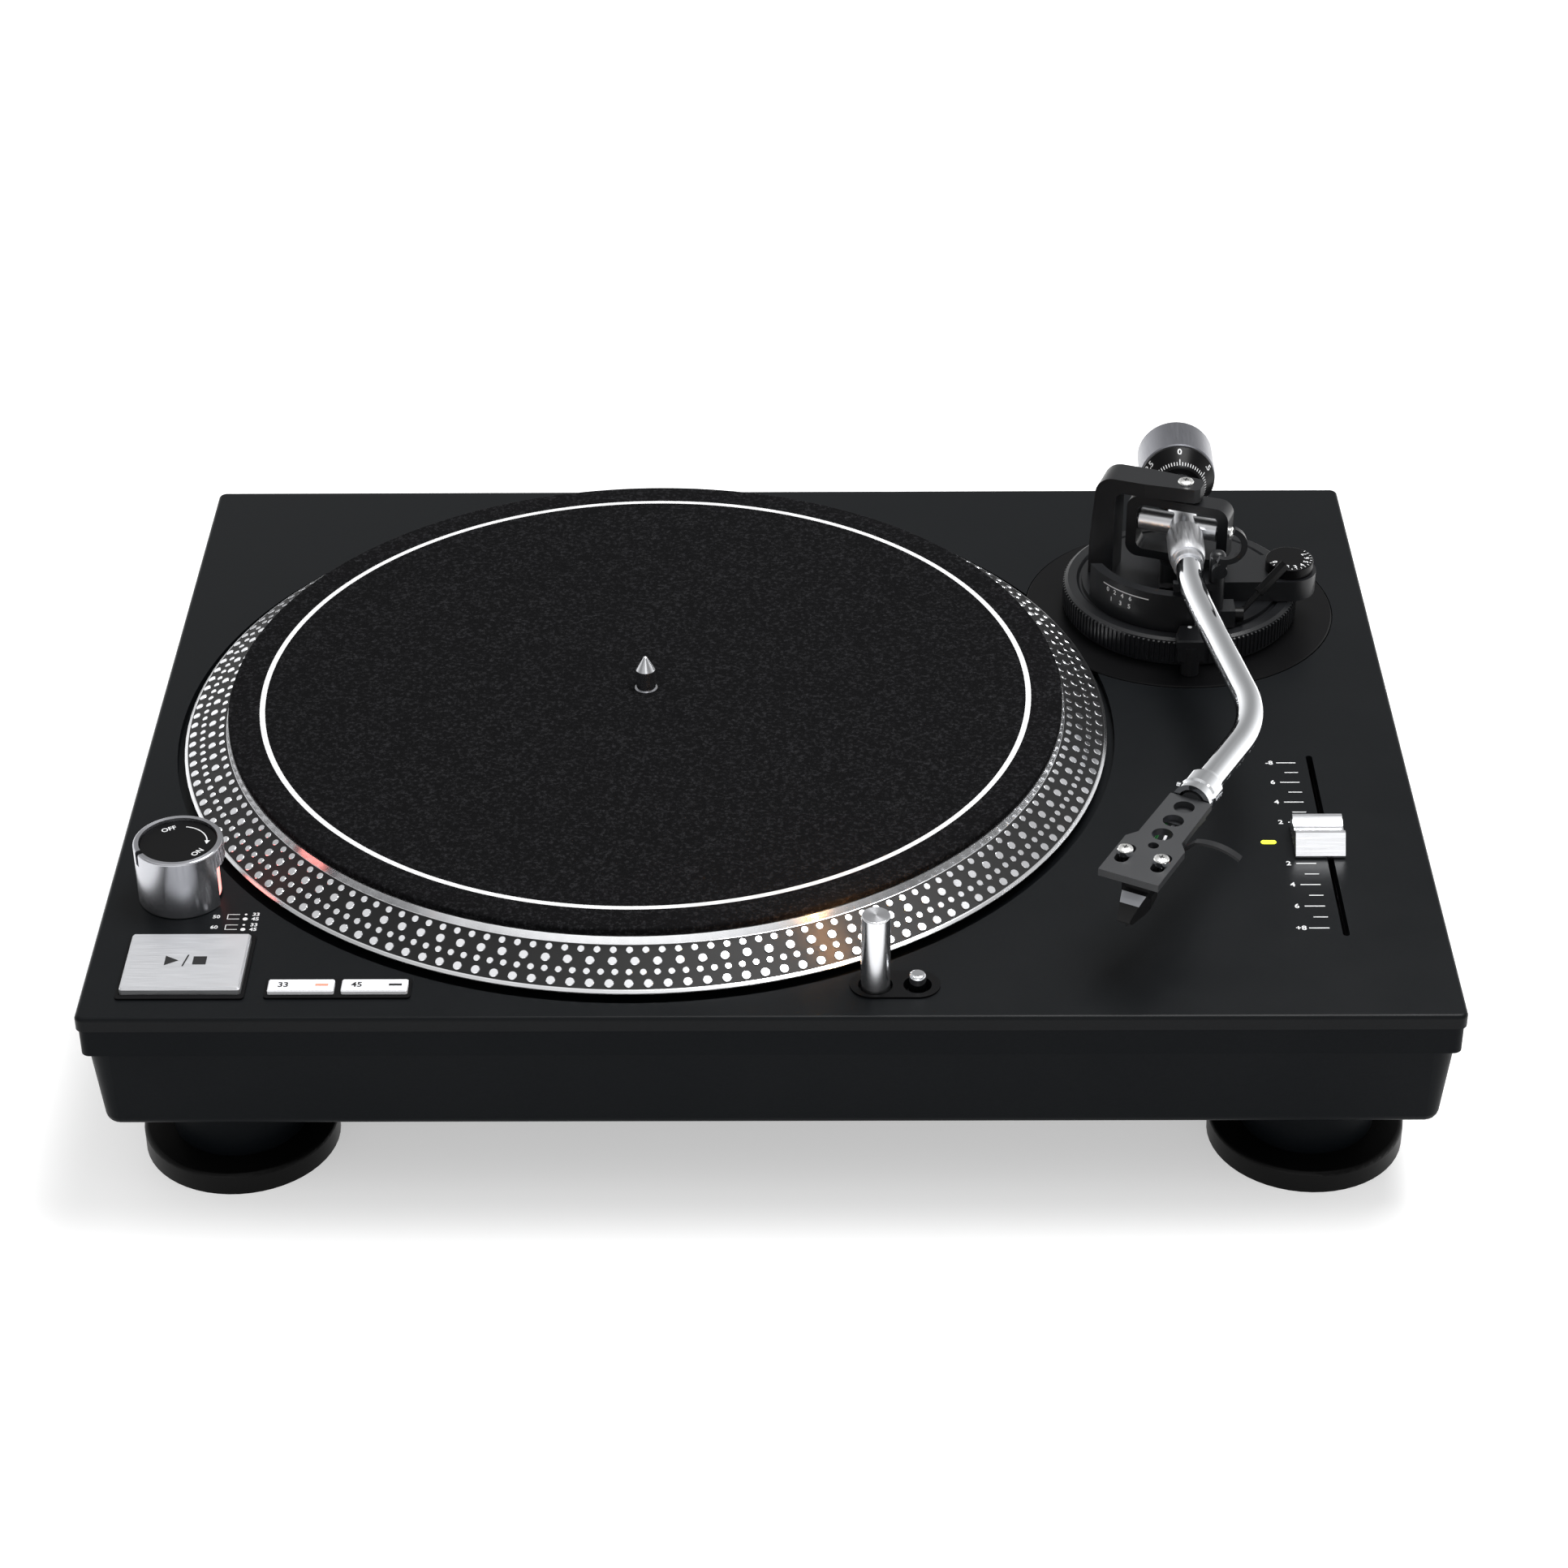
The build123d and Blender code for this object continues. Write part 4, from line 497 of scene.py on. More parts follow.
def stacked(shape, levels, place, count):
    """Adds a closed turned form: a stack of circles, each with a radius and a height."""
    rings = []
    for radius, height in levels:
        rings.append([shape.verts.new(place @ Vector((x, y, height))) for x, y in disc(radius, count)])
    for lower, upper in zip(rings, rings[1:]):
        for i in range(count):
            j = (i + 1) % count
            shape.faces.new((lower[i], lower[j], upper[j], upper[i]))
    shape.faces.new(rings[0][::-1])
    shape.faces.new(rings[-1])


# A screw's dome, as shares of its radius: each circle's radius and height
DOME = ((1.0, 0.1), (0.9, 0.24), (0.66, 0.36), (0.4, 0.4))
DOME_SINK = 0.05 * MM
DOME_SIDES = 24
# The two strokes of a screw's cross, a dark plate of painted shade for its recess: lift in print lifts, then
# width and height as shares of the radius
RECESS_SHADE_STROKES = ((0.2, 0.16, 0.74), (0.3, 0.74, 0.16))


def screw_heads(node, body, direction, across):
    """Domes with a dark cross of painted recess shade, on the faces of a node's screws that lie furthest
    along a direction.
    """
    face_slack = 0.02 * MM
    widest_head = 4 * MM
    points = [vertex.co for vertex in NODES[node].data.vertices]
    top = max(point.dot(direction) for point in points)
    rim = [point for point in points if point.dot(direction) > top - face_slack]
    half = sum(point.dot(across) for point in rim) / len(rim)
    spread = max(abs(point.dot(across) - half) for point in rim)
    groups = [rim] if spread < widest_head else [
        [point for point in rim if (point.dot(across) - half) * side > 0] for side in (-1, 1)]
    places = []
    for group in groups:
        spot = sum(group, Vector()) / len(group)
        radius = max((point - spot).length for point in group)
        places.append((facing(spot, across, direction), radius))

    def domes(shape):
        for place, radius in places:
            levels = [(radius, -DOME_SINK), *((wide * radius, high * radius) for wide, high in DOME)]
            stacked(shape, levels, place, DOME_SIDES)

    # Each flat dark cross is painted shade where the head's cross recess is
    def crosses(shape):
        for place, radius in places:
            for lift, width, height in RECESS_SHADE_STROKES:
                rise = Matrix.Translation((0, 0, DOME[-1][1] * radius + lift * PRINT_LIFT))
                plate(shape, oblong(width * radius, height * radius), place @ rise)

    mesh_piece(node + "_domes", domes, "heads", body)
    # Second piece: the painted shade of each head's cross recess, in the dark ink
    mesh_piece(node + "_crosses", crosses, "dark_ink_and_shade", body)


class PLAYER_OT_finishes(bpy.types.Operator):
    """Make every finish of the player"""

    bl_idname = "player.finishes"
    bl_label = "Finishes"

    def execute(self, context):
        colours = context.scene.player_colours
        sizes = context.scene.player_sizes
        self.skins(colours)
        self.metals()
        FINISHES["felt"] = felt_wool(colours, sizes)
        FINISHES["platter"] = banded_platter(colours, sizes)
        FINISHES["leads"] = striped_leads()
        FINISHES["nose"] = banded_nose()
        # White ink: crisp marks that stand out from the black
        FINISHES["ink"] = ink("white_screen_ink", colours.ink)
        # Black ink: soft dark marks on the silver keys, and painted shade in the screws' cross recesses
        FINISHES["dark_ink_and_shade"] = ink("black_ink_and_painted_shade", linear("#1b1b1c"))
        # Strobe lens: a pink-red glow that tints the rim beside it
        FINISHES["strobe"] = glowing("red_strobe_lens", colours.strobe, strength=2.4)
        # Target light's lens: tiny, so its strong warm glow only shows as a patch on the dots
        FINISHES["lamp"] = glowing("warm_lamp_lens", colours.lamp, strength=260.0)
        # Pitch lamp: a small yellow-green point
        FINISHES["pitch"] = glowing("green_lamp_lens", colours.pitch, strength=1.2)
        # Lamp of the chosen speed: a faint red bar
        FINISHES["red"] = glowing("red_key_lamp", linear("#ff7a66"), strength=0.8)
        return {"FINISHED"}

    def skins(self, colours):
        """Painted, moulded and sintered finishes."""
        for finish, name, colour, grit, depth, rough, spread, specular in (
                # Textured powder paint: near black, with a grit drawn coarser than its real 0.15 mm to show
                ("paint", "textured_powder_paint", colours.deck, 0.7, 0.02, 0.36, 0.04, 0.1),
                # Moulded ABS: darker and duller, with a spark-eroded grain
                ("case", "moulded_abs", colours.case, 0.9, 0.04, 0.45, 0.05, 0.06),
                # Satin enamel on metal: smoother, with broad soft highlights
                ("satin", "satin_enamel", colours.satin, 0.5, 0.012, 0.32, 0.04, 0.35),
                # Injection-moulded acetal of bezels and dials: deep black with a weak sheen
                ("plastic", "black_acetal", linear("#070708"), 0.5, 0.008, 0.34, 0.04, 0.1),
                # Rubber: dull, with a faint bloom
                ("rubber", "nitrile_rubber", linear("#090909"), 1.2, 0.02, 0.35, 0.05, 0.1),
                # Silver-painted plastic of the speed keys: pale and hardly shiny
                ("silver", "silver_painted_abs", linear("#d9dadd"), 0.5, 0.01, 0.35, 0.04, 0.5),
                # Sintered ferrite: dark grey and dull, like fine stone
                ("ferrite", "sintered_ferrite", linear("#2b2b2e"), 0.8, 0.04, 0.6, 0.06, 0.3),
                # Solder resist: the glossy green of a circuit board
                ("board", "solder_resist", linear("#1e5a38"), 1.5, 0.02, 0.35, 0.05, 0.5),
                # Black anodised plate of the headshell: greyer than the enamel, with a metal's soft sheen
                ("shell", "black_anodised_aluminium", linear("#2a2b2d"), 0.4, 0.008, 0.4, 0.04, 0.4)):
            FINISHES[finish] = skin(name, colour, grit, depth, rough, spread, specular)

    def metals(self):
        """Bare and plated metals."""
        # Turned aluminium of the power knob: upright bands of light and dark
        FINISHES["knob"] = lathe_metal("turned_aluminium", linear("#bcbdc2"), rough=0.22)[0]
        # Finer turned aluminium of the target light: paler, with a sharper band
        FINISHES["light"] = lathe_metal("fine_turned_aluminium", linear("#dcdde0"), rough=0.2)[0]
        for finish, name, colour, rough in (
                # Polished tops of the cast dots: small mirrors that stand out white from the band
                ("dots", "polished_cast_dots", "#eeeff2", 0.16),
                # Nickel-plated screw heads: bright, with a soft mirror
                ("heads", "nickel_plated_steel", "#f2f2f0", 0.25),
                # Chrome plate of the tube: a clear mirror with hard dark and white streaks
                ("chrome", "chrome_plate", "#eceef1", 0.06),
                # Bright steel of the spindle and screws: a greyer, softer mirror
                ("steel", "bright_steel", "#c8c9cc", 0.2),
                # Plain brass: a warm, slightly dulled yellow
                ("brass", "plain_brass", "#c9a45c", 0.3)):
            FINISHES[finish] = polished(name, linear(colour), rough)
        # The scratches run along the axis whose stretch is small
        for finish, name, colour, rough, grain, stretch in (
                # Brushed aluminium of the start key, scratched from side to side: an even silver
                ("brushed", "brushed_aluminium", "#d8d9dc", 0.42, 0.5, (0.04, 1, 1)),
                # Brushed fader cap: glossier, so that each of its slopes has its own tone
                ("fader", "brushed_fader_cap", "#e2e3e6", 0.24, 0.5, (0.04, 1, 1)),
                # Satin anodised aluminium of the arm's barrel: a pale, soft highlight along it
                ("anodised", "satin_anodised_aluminium", "#dedfe2", 0.32, 0.6, (1, 0.1, 1)),
                # Turned counterweight: a darker grey with a broad highlight
                ("weight", "turned_counterweight", "#86878d", 0.32, 0.6, (1, 0.08, 1)),
                # Enamelled copper: a deep orange with the turns of the wire
                ("copper", "enamelled_copper_wire", "#b5652f", 0.35, 0.4, (1, 1, 0.2)),
                # Laminated core steel: mid grey with fine edges
                ("laminated", "laminated_core_steel", "#6d6e72", 0.45, 0.5, (1, 1, 0.05))):
            FINISHES[finish] = brushed_metal(name, linear(colour), rough, grain, stretch)


class PLAYER_OT_case(bpy.types.Operator):
    """Finish the deck, plinth, feet and what lies inside"""

    bl_idname = "player.case"
    bl_label = "Case"

    def execute(self, context):
        dress("paint", "deck_plate")
        dress("case", "plinth_band", "base_tub", "foot_housings")
        dress("rubber", "foot_pads")
        dress("steel", "case_screws")
        dress("board", "motor_board", "main_board")
        dress("copper", "stator_coils")
        dress("laminated", "power_transformer", "bearing_housing")
        dress("brass", "bearing_bush", "ground_terminal", "phono_jacks")
        dress("ferrite", "rotor_magnet")
        dress("plastic", "arm_board", "mains_inlet", "power_switch", "fader_body")
        return {"FINISHED"}


class PLAYER_OT_platter(bpy.types.Operator):
    """Finish the platter and spindle, and cast the rows of strobe dots"""

    bl_idname = "player.platter"
    bl_label = "Platter and strobe dots"

    # Radius in mm, dots in a turn and dot diameter in mm. Under 50 and 60 Hz lamps the rows stand still
    # at 33 and 45 turns a minute.
    ROWS = ((152.4, 180, 2.4), (156.0, 133, 3.1), (159.5, 216, 2.3), (163.2, 160, 3.1))
    DOT_SIDES = 16
    DOT_SINK = 0.1 * MM
    # Height of a dot as a share of its diameter, then of its shoulder and top as shares of height and radius
    DOT_RISE = 0.14
    SHOULDER = 0.6
    DOT_TOP = 0.88
    RAY_START = 0.1

    def execute(self, context):
        dress("platter", "platter")
        dress("steel", "spindle")
        mesh_piece("strobe_dots", self.cast_dots, "dots", "platter_set")
        return {"FINISHED"}

    def cast_dots(self, shape):
        """Studs standing square on the sloping band."""
        for radius, count, diameter in self.ROWS:
            top = PLATTER + Vector((radius * MM, 0, self.RAY_START))
            hit, spot, normal, _ = NODES["platter"].ray_cast(top, -UP)
            if not hit:
                raise RuntimeError("the platter has no band under the strobe dots")
            for i in range(count):
                turn = Matrix.Rotation(2 * math.pi * i / count, 4, "Z")
                around = Matrix.Translation(PLATTER) @ turn @ Matrix.Translation(-PLATTER)
                self.stud(shape, around @ spot, (turn.to_3x3() @ normal).normalized(), diameter / 2 * MM)

    def stud(self, shape, spot, normal, radius):
        """One low stud: a foot just under the band, a rounded shoulder and a flat top."""
        place = facing(spot, normal.orthogonal().normalized(), normal)
        rise = 2 * radius * self.DOT_RISE
        levels = ((radius, -self.DOT_SINK), (radius, rise * self.SHOULDER), (radius * self.DOT_TOP, rise))
        stacked(shape, levels, place, self.DOT_SIDES)


class PLAYER_OT_mat(bpy.types.Operator):
    """Lay the felt slip mat on the platter"""

    bl_idname = "player.mat"
    bl_label = "Slip mat"

    SIDES = 192
    RINGS = 24
    HOLE = 4.2 * MM
    EDGE = 0.7 * MM
    # The top dips and rises by this much, in as many half waves from the hole to the edge
    SWAY = 0.05 * MM
    HALF_WAVES = 9.0

    def execute(self, context):
        low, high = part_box("slipmat")
        self.low = low.z
        self.high = high.z
        self.outer = (high.x - low.x) / 2
        mat = mesh_piece("felt_slip_mat", self.press, "felt", "mat", smooth=True)
        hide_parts("slipmat")
        return {"FINISHED"}

    def press(self, shape):
        """A disc with a rolled edge and a soft hole, a hair uneven on top as pressed felt is."""
        hole, edge, low, high, outer = self.HOLE, self.EDGE, self.low, self.high, self.outer
        profile = [(hole, low), (hole, high - edge / 2), (hole + edge / 2, high)]
        for i in range(1, self.RINGS):
            share = i / self.RINGS
            sway = self.SWAY * math.sin(self.HALF_WAVES * share * math.pi)
            profile.append((hole + (outer - edge - hole) * share, high - self.SWAY + sway))
        profile += [(outer - edge, high), (outer - edge * 0.3, high - edge * 0.3), (outer, high - edge),
                    (outer, low + edge / 2), (outer - edge / 2, low)]
        spun(shape, profile, PLATTER, self.SIDES)


class PLAYER_OT_keys(bpy.types.Operator):
    """Finish and mark the start key and the speed keys"""

    bl_idname = "player.keys"
    bl_label = "Keys"

    SYMBOL = 2.6 * MM
    NUMERAL = 2.6
    NUMERAL_INSET = 5 * MM
    WINDOW = (4.2 * MM, 1.1 * MM)
    WINDOW_INSET = 4 * MM

    def execute(self, context):
        dress("plastic", "start_stop_bezel", "speed_bezel")
        dress("brushed", "start_stop_button")
        dress("silver", "speed_button_33", "speed_button_45")
        mesh_piece("start_stop_marks", self.symbols, "dark_ink_and_shade", "start_stop")
        for numeral, lamp in (("33", "red"), ("45", "dark_ink_and_shade")):
            node, body = "speed_button_" + numeral, "speed_" + numeral
            low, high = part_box(node)
            center = top_of(node)
            spot = Matrix.Translation(Vector((low.x + self.NUMERAL_INSET, center.y, center.z)))
            words("numeral_" + numeral, numeral, self.NUMERAL, spot, "dark_ink_and_shade", body)
            window = Matrix.Translation(Vector((high.x - self.WINDOW_INSET, center.y, center.z)))
            mesh_piece("key_lamp_" + numeral, lambda shape, place=window: plate(
                shape, oblong(*self.WINDOW), place), lamp, body)
        return {"FINISHED"}

    def symbols(self, shape):
        """A play triangle and a stop square with a stroke between them, in shares of the symbol's size."""
        place = Matrix.Translation(top_of("start_stop_button"))
        size = self.SYMBOL
        triangle = ((-2.6, -1), (-0.9, 0), (-2.6, 1))
        stroke = ((-0.35, -1.2), (-0.15, -1.2), (0.35, 1.2), (0.15, 1.2))
        for outline in (triangle, stroke, oblong(1.7, 1.7, 1.8)):
            plate(shape, [(x * size, y * size) for x, y in outline], place)


class PLAYER_OT_power(bpy.types.Operator):
    """Finish the power knob and its strobe lamp, and print the marks beside it"""

    bl_idname = "player.power"
    bl_label = "Power knob"

    # Marks on the cap, in millimetres and degrees
    CAP_WORDS = (("OFF", 118), ("ON", -38))
    WORD_RADIUS = 9.2
    WORD_HEIGHT = 2.1
    ARROW_RADIUS = 9.6
    ARROW_HALF = 0.2
    ARROW_TURN = (82, 8)
    ARROW_TIP = 2
    ARROW_HEAD = ((-0.9, 1.0), (0.0, -1.1), (0.9, 1.0))
    # Key to the strobe dots on the deck, in millimetres: a bracket for each mains frequency
    KEY_Y = -119.2
    KEY_STEP = 6.0
    LINE_RISE = 1.3
    MAINS_X = -186.2
    POST_X = -182.4
    BAR_X = -180.4
    DOT_X = -176.4
    SPEED_X = -173.0
    BAR = 4.0
    POST = 2.9
    STROKE = 0.28
    DOTS = (0.45, 0.85)
    KEY_LETTER = 0.75

    def execute(self, context):
        dress("knob", "power_knob")
        dress("plastic", "strobe_tower")
        dress("strobe", "strobe_lens")
        self.cap = Matrix.Translation(top_of("strobe_tower"))
        mesh_piece("power_arrow", self.arrow, "ink", "chassis")
        for text, angle in self.CAP_WORDS:
            spot = self.cap @ Matrix.Translation(outward(angle) * self.WORD_RADIUS * MM)
            upright = angle - 90 if angle > 0 else angle + 90
            tilt = Matrix.Rotation(math.radians(upright), 4, "Z")
            words("power_" + text.lower(), text, self.WORD_HEIGHT, spot @ tilt, "ink", "chassis")
        mesh_piece("strobe_key", self.strobe_key, "ink", "chassis")
        letter = context.scene.player_sizes.letter / MM * self.KEY_LETTER
        for row, mains in enumerate(("50", "60")):
            y = self.KEY_Y - self.KEY_STEP * row
            words("mains_" + mains, mains, letter, on_deck(self.MAINS_X, y), "ink", "chassis")
            for speed, rise in (("33", self.LINE_RISE), ("45", -self.LINE_RISE)):
                words("strobe_" + mains + "_" + speed, speed, letter,
                      on_deck(self.SPEED_X, y + rise), "ink", "chassis")
        return {"FINISHED"}

    def arrow(self, shape):
        """Curved arrow from off to on."""
        inner = (self.ARROW_RADIUS - self.ARROW_HALF) * MM
        outer = (self.ARROW_RADIUS + self.ARROW_HALF) * MM
        plate(shape, arc_band(inner, outer, *self.ARROW_TURN), self.cap)
        head = self.cap @ Matrix.Translation(outward(self.ARROW_TIP) * self.ARROW_RADIUS * MM)
        plate(shape, [(x * MM, y * MM) for x, y in self.ARROW_HEAD], head)

    def strobe_key(self, shape):
        """Two brackets, each with a small and a large dot."""
        for row in range(2):
            y = self.KEY_Y - self.KEY_STEP * row
            for rise, dot in zip((self.LINE_RISE, -self.LINE_RISE), self.DOTS):
                plate(shape, oblong(self.BAR * MM, self.STROKE * MM), on_deck(self.BAR_X, y + rise))
                plate(shape, disc(dot * MM), on_deck(self.DOT_X, y + rise))
            plate(shape, oblong(self.STROKE * MM, self.POST * MM), on_deck(self.POST_X, y))


class PLAYER_OT_light(bpy.types.Operator):
    """Finish the target light and its release button"""

    bl_idname = "player.light"
    bl_label = "Target light"

    def execute(self, context):
        dress("plastic", "light_bezel")
        dress("light", "target_light")
        dress("lamp", "light_lens")
        dress("chrome", "light_button")
        return {"FINISHED"}


class PLAYER_OT_pitch(bpy.types.Operator):
    """Finish the pitch fader and print its scale"""

    bl_idname = "player.pitch"
    bl_label = "Pitch fader"

    # Places on the deck and sizes of the scale's lines, in millimetres
    STEPS = 8
    MIDDLE_Y = -76.75
    NUMERAL_X = 176.4
    LONG_X = 182.4
    LONG_LINE = (6.8 * MM, 0.5 * MM)
    SHORT_X = 183.6
    SHORT_LINE = (4.8 * MM, 0.45 * MM)

    def execute(self, context):
        dress("fader", "fader_knob")
        dress("pitch", "pitch_lamp")
        self.sizes = context.scene.player_sizes
        mesh_piece("pitch_lines", self.lines, "ink", "chassis")
        for step in range(-self.STEPS, self.STEPS + 1, 2):
            if step != 0:
                sign = {-self.STEPS: "-", self.STEPS: "+"}.get(step, "")
                words("pitch_" + str(step).replace("-", "minus_"), sign + str(abs(step)),
                      self.sizes.letter / MM, on_deck(self.NUMERAL_X, self.row(step)), "ink", "chassis")
        return {"FINISHED"}

    def row(self, step):
        """Place along the deck of a line of the scale, in millimetres."""
        return self.MIDDLE_Y - step * self.sizes.pitch_step / MM

    def lines(self, shape):
        """Long lines at even steps and short ones between, with the lamp at the middle."""
        for step in range(-self.STEPS, self.STEPS + 1):
            if step % 2:
                plate(shape, oblong(*self.SHORT_LINE), on_deck(self.SHORT_X, self.row(step)))
            elif step:
                plate(shape, oblong(*self.LONG_LINE), on_deck(self.LONG_X, self.row(step)))


class PLAYER_OT_ring(bpy.types.Operator):
    """Finish the height ring, its ribs and its lock lever"""

    bl_idname = "player.ring"
    bl_label = "Height ring"

    # Heights of the ribs above the deck, how far they stand out and sink in, and the share that is crest
    RIB_LOW = 1.9 * MM
    RIB_HIGH = 11.0 * MM
    RIB_RISE = 0.55 * MM
    RIB_SINK = 0.3 * MM
    RIB_CREST = 0.55
    LOCK_DOT = 0.8 * MM
    LOCK_DOT_INSET = 1.9 * MM

    def execute(self, context):
        self.sizes = context.scene.player_sizes
        dress("satin", "height_ring", "height_lock_lever")
        low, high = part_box("height_ring")
        self.radius = (high.x - low.x) / 2
        mesh_piece("height_ring_ribs", self.ribs, "satin", "height_adjuster")
        spot = top_of("height_lock_lever")
        spot.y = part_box("height_lock_lever")[1].y - self.LOCK_DOT_INSET
        mesh_piece("lock_dot", lambda shape: plate(
            shape, disc(self.LOCK_DOT), Matrix.Translation(spot)), "ink", "lock")
        return {"FINISHED"}

    def ribs(self, shape):
        """Upright ribs with chamfered ends, sunk a little in the ring."""
        half = self.sizes.rib_width / 2
        crest = half * self.RIB_CREST
        foot = self.radius - self.RIB_SINK
        tip = self.radius + self.RIB_RISE
        low = DECK_TOP + self.RIB_LOW
        high = DECK_TOP + self.RIB_HIGH
        slope = self.RIB_RISE
        section = ((foot, -half, 0), (tip, -crest, slope), (tip, crest, slope), (foot, half, 0))
        for i in range(self.sizes.rib_count):
            turn = Matrix.Rotation(2 * math.pi * i / self.sizes.rib_count, 4, "Z")
            place = Matrix.Translation(Vector((ARM.x, ARM.y, 0))) @ turn
            lower = [shape.verts.new(place @ Vector((x, y, low + s))) for x, y, s in section]
            upper = [shape.verts.new(place @ Vector((x, y, high - s))) for x, y, s in section]
            bridge(shape, lower, upper)


class PLAYER_OT_arm_base(bpy.types.Operator):
    """Finish the arm's base, its yoke, rest and cue lever, and print its scales"""

    bl_idname = "player.arm_base"
    bl_label = "Arm base"

    # Numerals round the side of the base, at an angle in degrees and a height above the deck in mm
    SCALE = (("0", 218.0, 21.7), ("2", 223.5, 21.7), ("4", 229.0, 21.7), ("6", 234.5, 21.7),
             ("1", 221.0, 18.3), ("3", 228.0, 18.3), ("5", 234.0, 18.3))
    SCALE_RADIUS = 37.1 * MM
    SCALE_LETTER = 1.8
    LINE_HEIGHT = 23.5 * MM
    LINE_WIDTH = 0.4 * MM
    LINE_TURN = (214, 246)
    # Numbers of the anti-skate dial: first angle and step in degrees, and sizes from the dial's middle
    SKATE_COUNT = 8
    SKATE_START = 205
    SKATE_STEP = 26
    SKATE_LETTER = 1.9
    SKATE_NUMERALS = 6.5 * MM
    SKATE_TICKS = 8.1 * MM
    SKATE_TICK = (0.3 * MM, 0.8 * MM)

    def execute(self, context):
        dress("satin", "arm_base", "gimbal_yoke", "gimbal_ring", "arm_rest", "arm_clip")
        dress("plastic", "anti_skate_dial", "cue_platform", "cue_lever")
        dress("chrome", "pivot_screws", "side_pivot_screws")
        lift_axis = Vector(JOINTS["arm_lift"]["axis"]).normalized()
        screw_heads("pivot_screws", "arm_mount", UP, lift_axis)
        screw_heads("side_pivot_screws", "gimbal", lift_axis * (1 if lift_axis.x > 0 else -1), UP)
        self.height_scale()
        self.skate_scale()
        return {"FINISHED"}

    def height_scale(self):
        """Two rows of numerals on the base's left front side, under a line."""
        for numeral, angle, height in self.SCALE:
            out = outward(angle)
            spot = Vector((ARM.x, ARM.y, DECK_TOP + height * MM)) + out * (self.SCALE_RADIUS + PRINT_LIFT)
            words("height_" + numeral, numeral, self.SCALE_LETTER, facing(spot, UP, out), "ink", "arm_mount")
        mesh_piece("height_line", self.line, "ink", "arm_mount")

    def line(self, shape):
        """A thin curved line above the numerals."""
        place = Matrix.Translation(Vector((ARM.x, ARM.y, DECK_TOP + self.LINE_HEIGHT - self.LINE_WIDTH / 2)))
        inner = self.SCALE_RADIUS - PRINT_DEPTH
        outer = self.SCALE_RADIUS + PRINT_DEPTH
        plate(shape, arc_band(inner, outer, *self.LINE_TURN), place, self.LINE_WIDTH)

    def skate_scale(self):
        """Numbers round the anti-skate dial's top, with ticks at its edge."""
        center = top_of("anti_skate_dial")
        ticks = []
        for i in range(self.SKATE_COUNT):
            angle = self.SKATE_START + self.SKATE_STEP * i
            out = outward(angle)
            words("skate_" + str(i), str(i), self.SKATE_LETTER, facing(
                center + out * self.SKATE_NUMERALS, out * -1, UP), "ink", "skate_dial")
            for edge in (out, outward(angle + self.SKATE_STEP / 2)):
                ticks.append(facing(center + edge * self.SKATE_TICKS, edge, UP))
        mesh_piece("skate_ticks", lambda shape: [
            plate(shape, oblong(*self.SKATE_TICK), place) for place in ticks], "ink", "skate_dial")


class PLAYER_OT_arm(bpy.types.Operator):
    """Finish the tonearm, headshell and cartridge"""

    bl_idname = "player.arm"
    bl_label = "Tonearm"

    def execute(self, context):
        dress("anodised", "arm_hub")
        dress("chrome", "arm_tube", "locking_collar", "cartridge_screws")
        dress("shell", "headshell")
        dress("satin", "finger_lift")
        dress("plastic", "cartridge")
        dress("nose", "stylus")
        dress("leads", "headshell_leads")
        screw_heads("cartridge_screws", "tonearm", UP, SHELL_AXIS.cross(UP))
        return {"FINISHED"}


class PLAYER_OT_weight(bpy.types.Operator):
    """Finish the counterweight and print the force dial's scale"""

    bl_idname = "player.weight"
    bl_label = "Counterweight"

    NUMBERS = ("0", ".5", "1", "1.5", "2", "2.5")
    TICKS = 60
    TICK_WIDTH = 0.32 * MM
    # A tick's place, as a share of the way from the dial's front to its back, and its length
    SHORT_TICK = (0.18, 1.5 * MM)
    LONG_TICK = (0.24, 2.6 * MM)
    NUMBER_PLACE = 0.66
    NUMBER_HEIGHT = 2.5
    # A cone's slope is measured over this share, by rays that start this far from the arm
    SLOPE_STEP = 0.02
    RAY_START = 40 * MM

    def execute(self, context):
        dress("anodised", "weight_sleeve")
        dress("weight", "counterweight")
        dress("plastic", "weight_dial")
        ticks = []
        for i in range(self.TICKS):
            numbered = i % (self.TICKS // len(self.NUMBERS)) == 0
            share, length = self.LONG_TICK if numbered else self.SHORT_TICK
            ticks.append((self.on_cone(2 * math.pi * i / self.TICKS, share), length))
        mesh_piece("force_ticks", lambda shape: [
            plate(shape, oblong(self.TICK_WIDTH, length), place) for place, length in ticks],
            "ink", "force_dial")
        for i, number in enumerate(self.NUMBERS):
            place = self.on_cone(2 * math.pi * i / len(self.NUMBERS), self.NUMBER_PLACE)
            words("force_" + str(i), number, self.NUMBER_HEIGHT, place, "ink", "force_dial")
        return {"FINISHED"}

    def on_cone(self, turn, share):
        """Place on the dial's cone, at an angle from its top and a share of the way to the back."""
        dial = NODES["weight_dial"]
        ahead = ARM_AXIS.normalized()
        along = [(vertex.co - ARM_POINT).dot(ahead) for vertex in dial.data.vertices]
        front, back = max(along), min(along)
        side = ahead.cross(UP).normalized()
        out = UP * math.cos(turn) + side * -math.sin(turn)
        spots = []
        for step in (share, share + self.SLOPE_STEP):
            base = ARM_POINT + ahead * (front + (back - front) * step)
            hit, spot, _, _ = dial.ray_cast(base + out * self.RAY_START, -out)
            if not hit:
                raise RuntimeError("the force dial has no cone under its scale")
            spots.append(spot)
        up = (spots[1] - spots[0]).normalized()
        across = out.cross(ahead).normalized()
        normal = across.cross(up).normalized()
        if normal.dot(out) < 0:
            normal = -normal
        return facing(spots[0] + normal * PRINT_LIFT, up, normal)


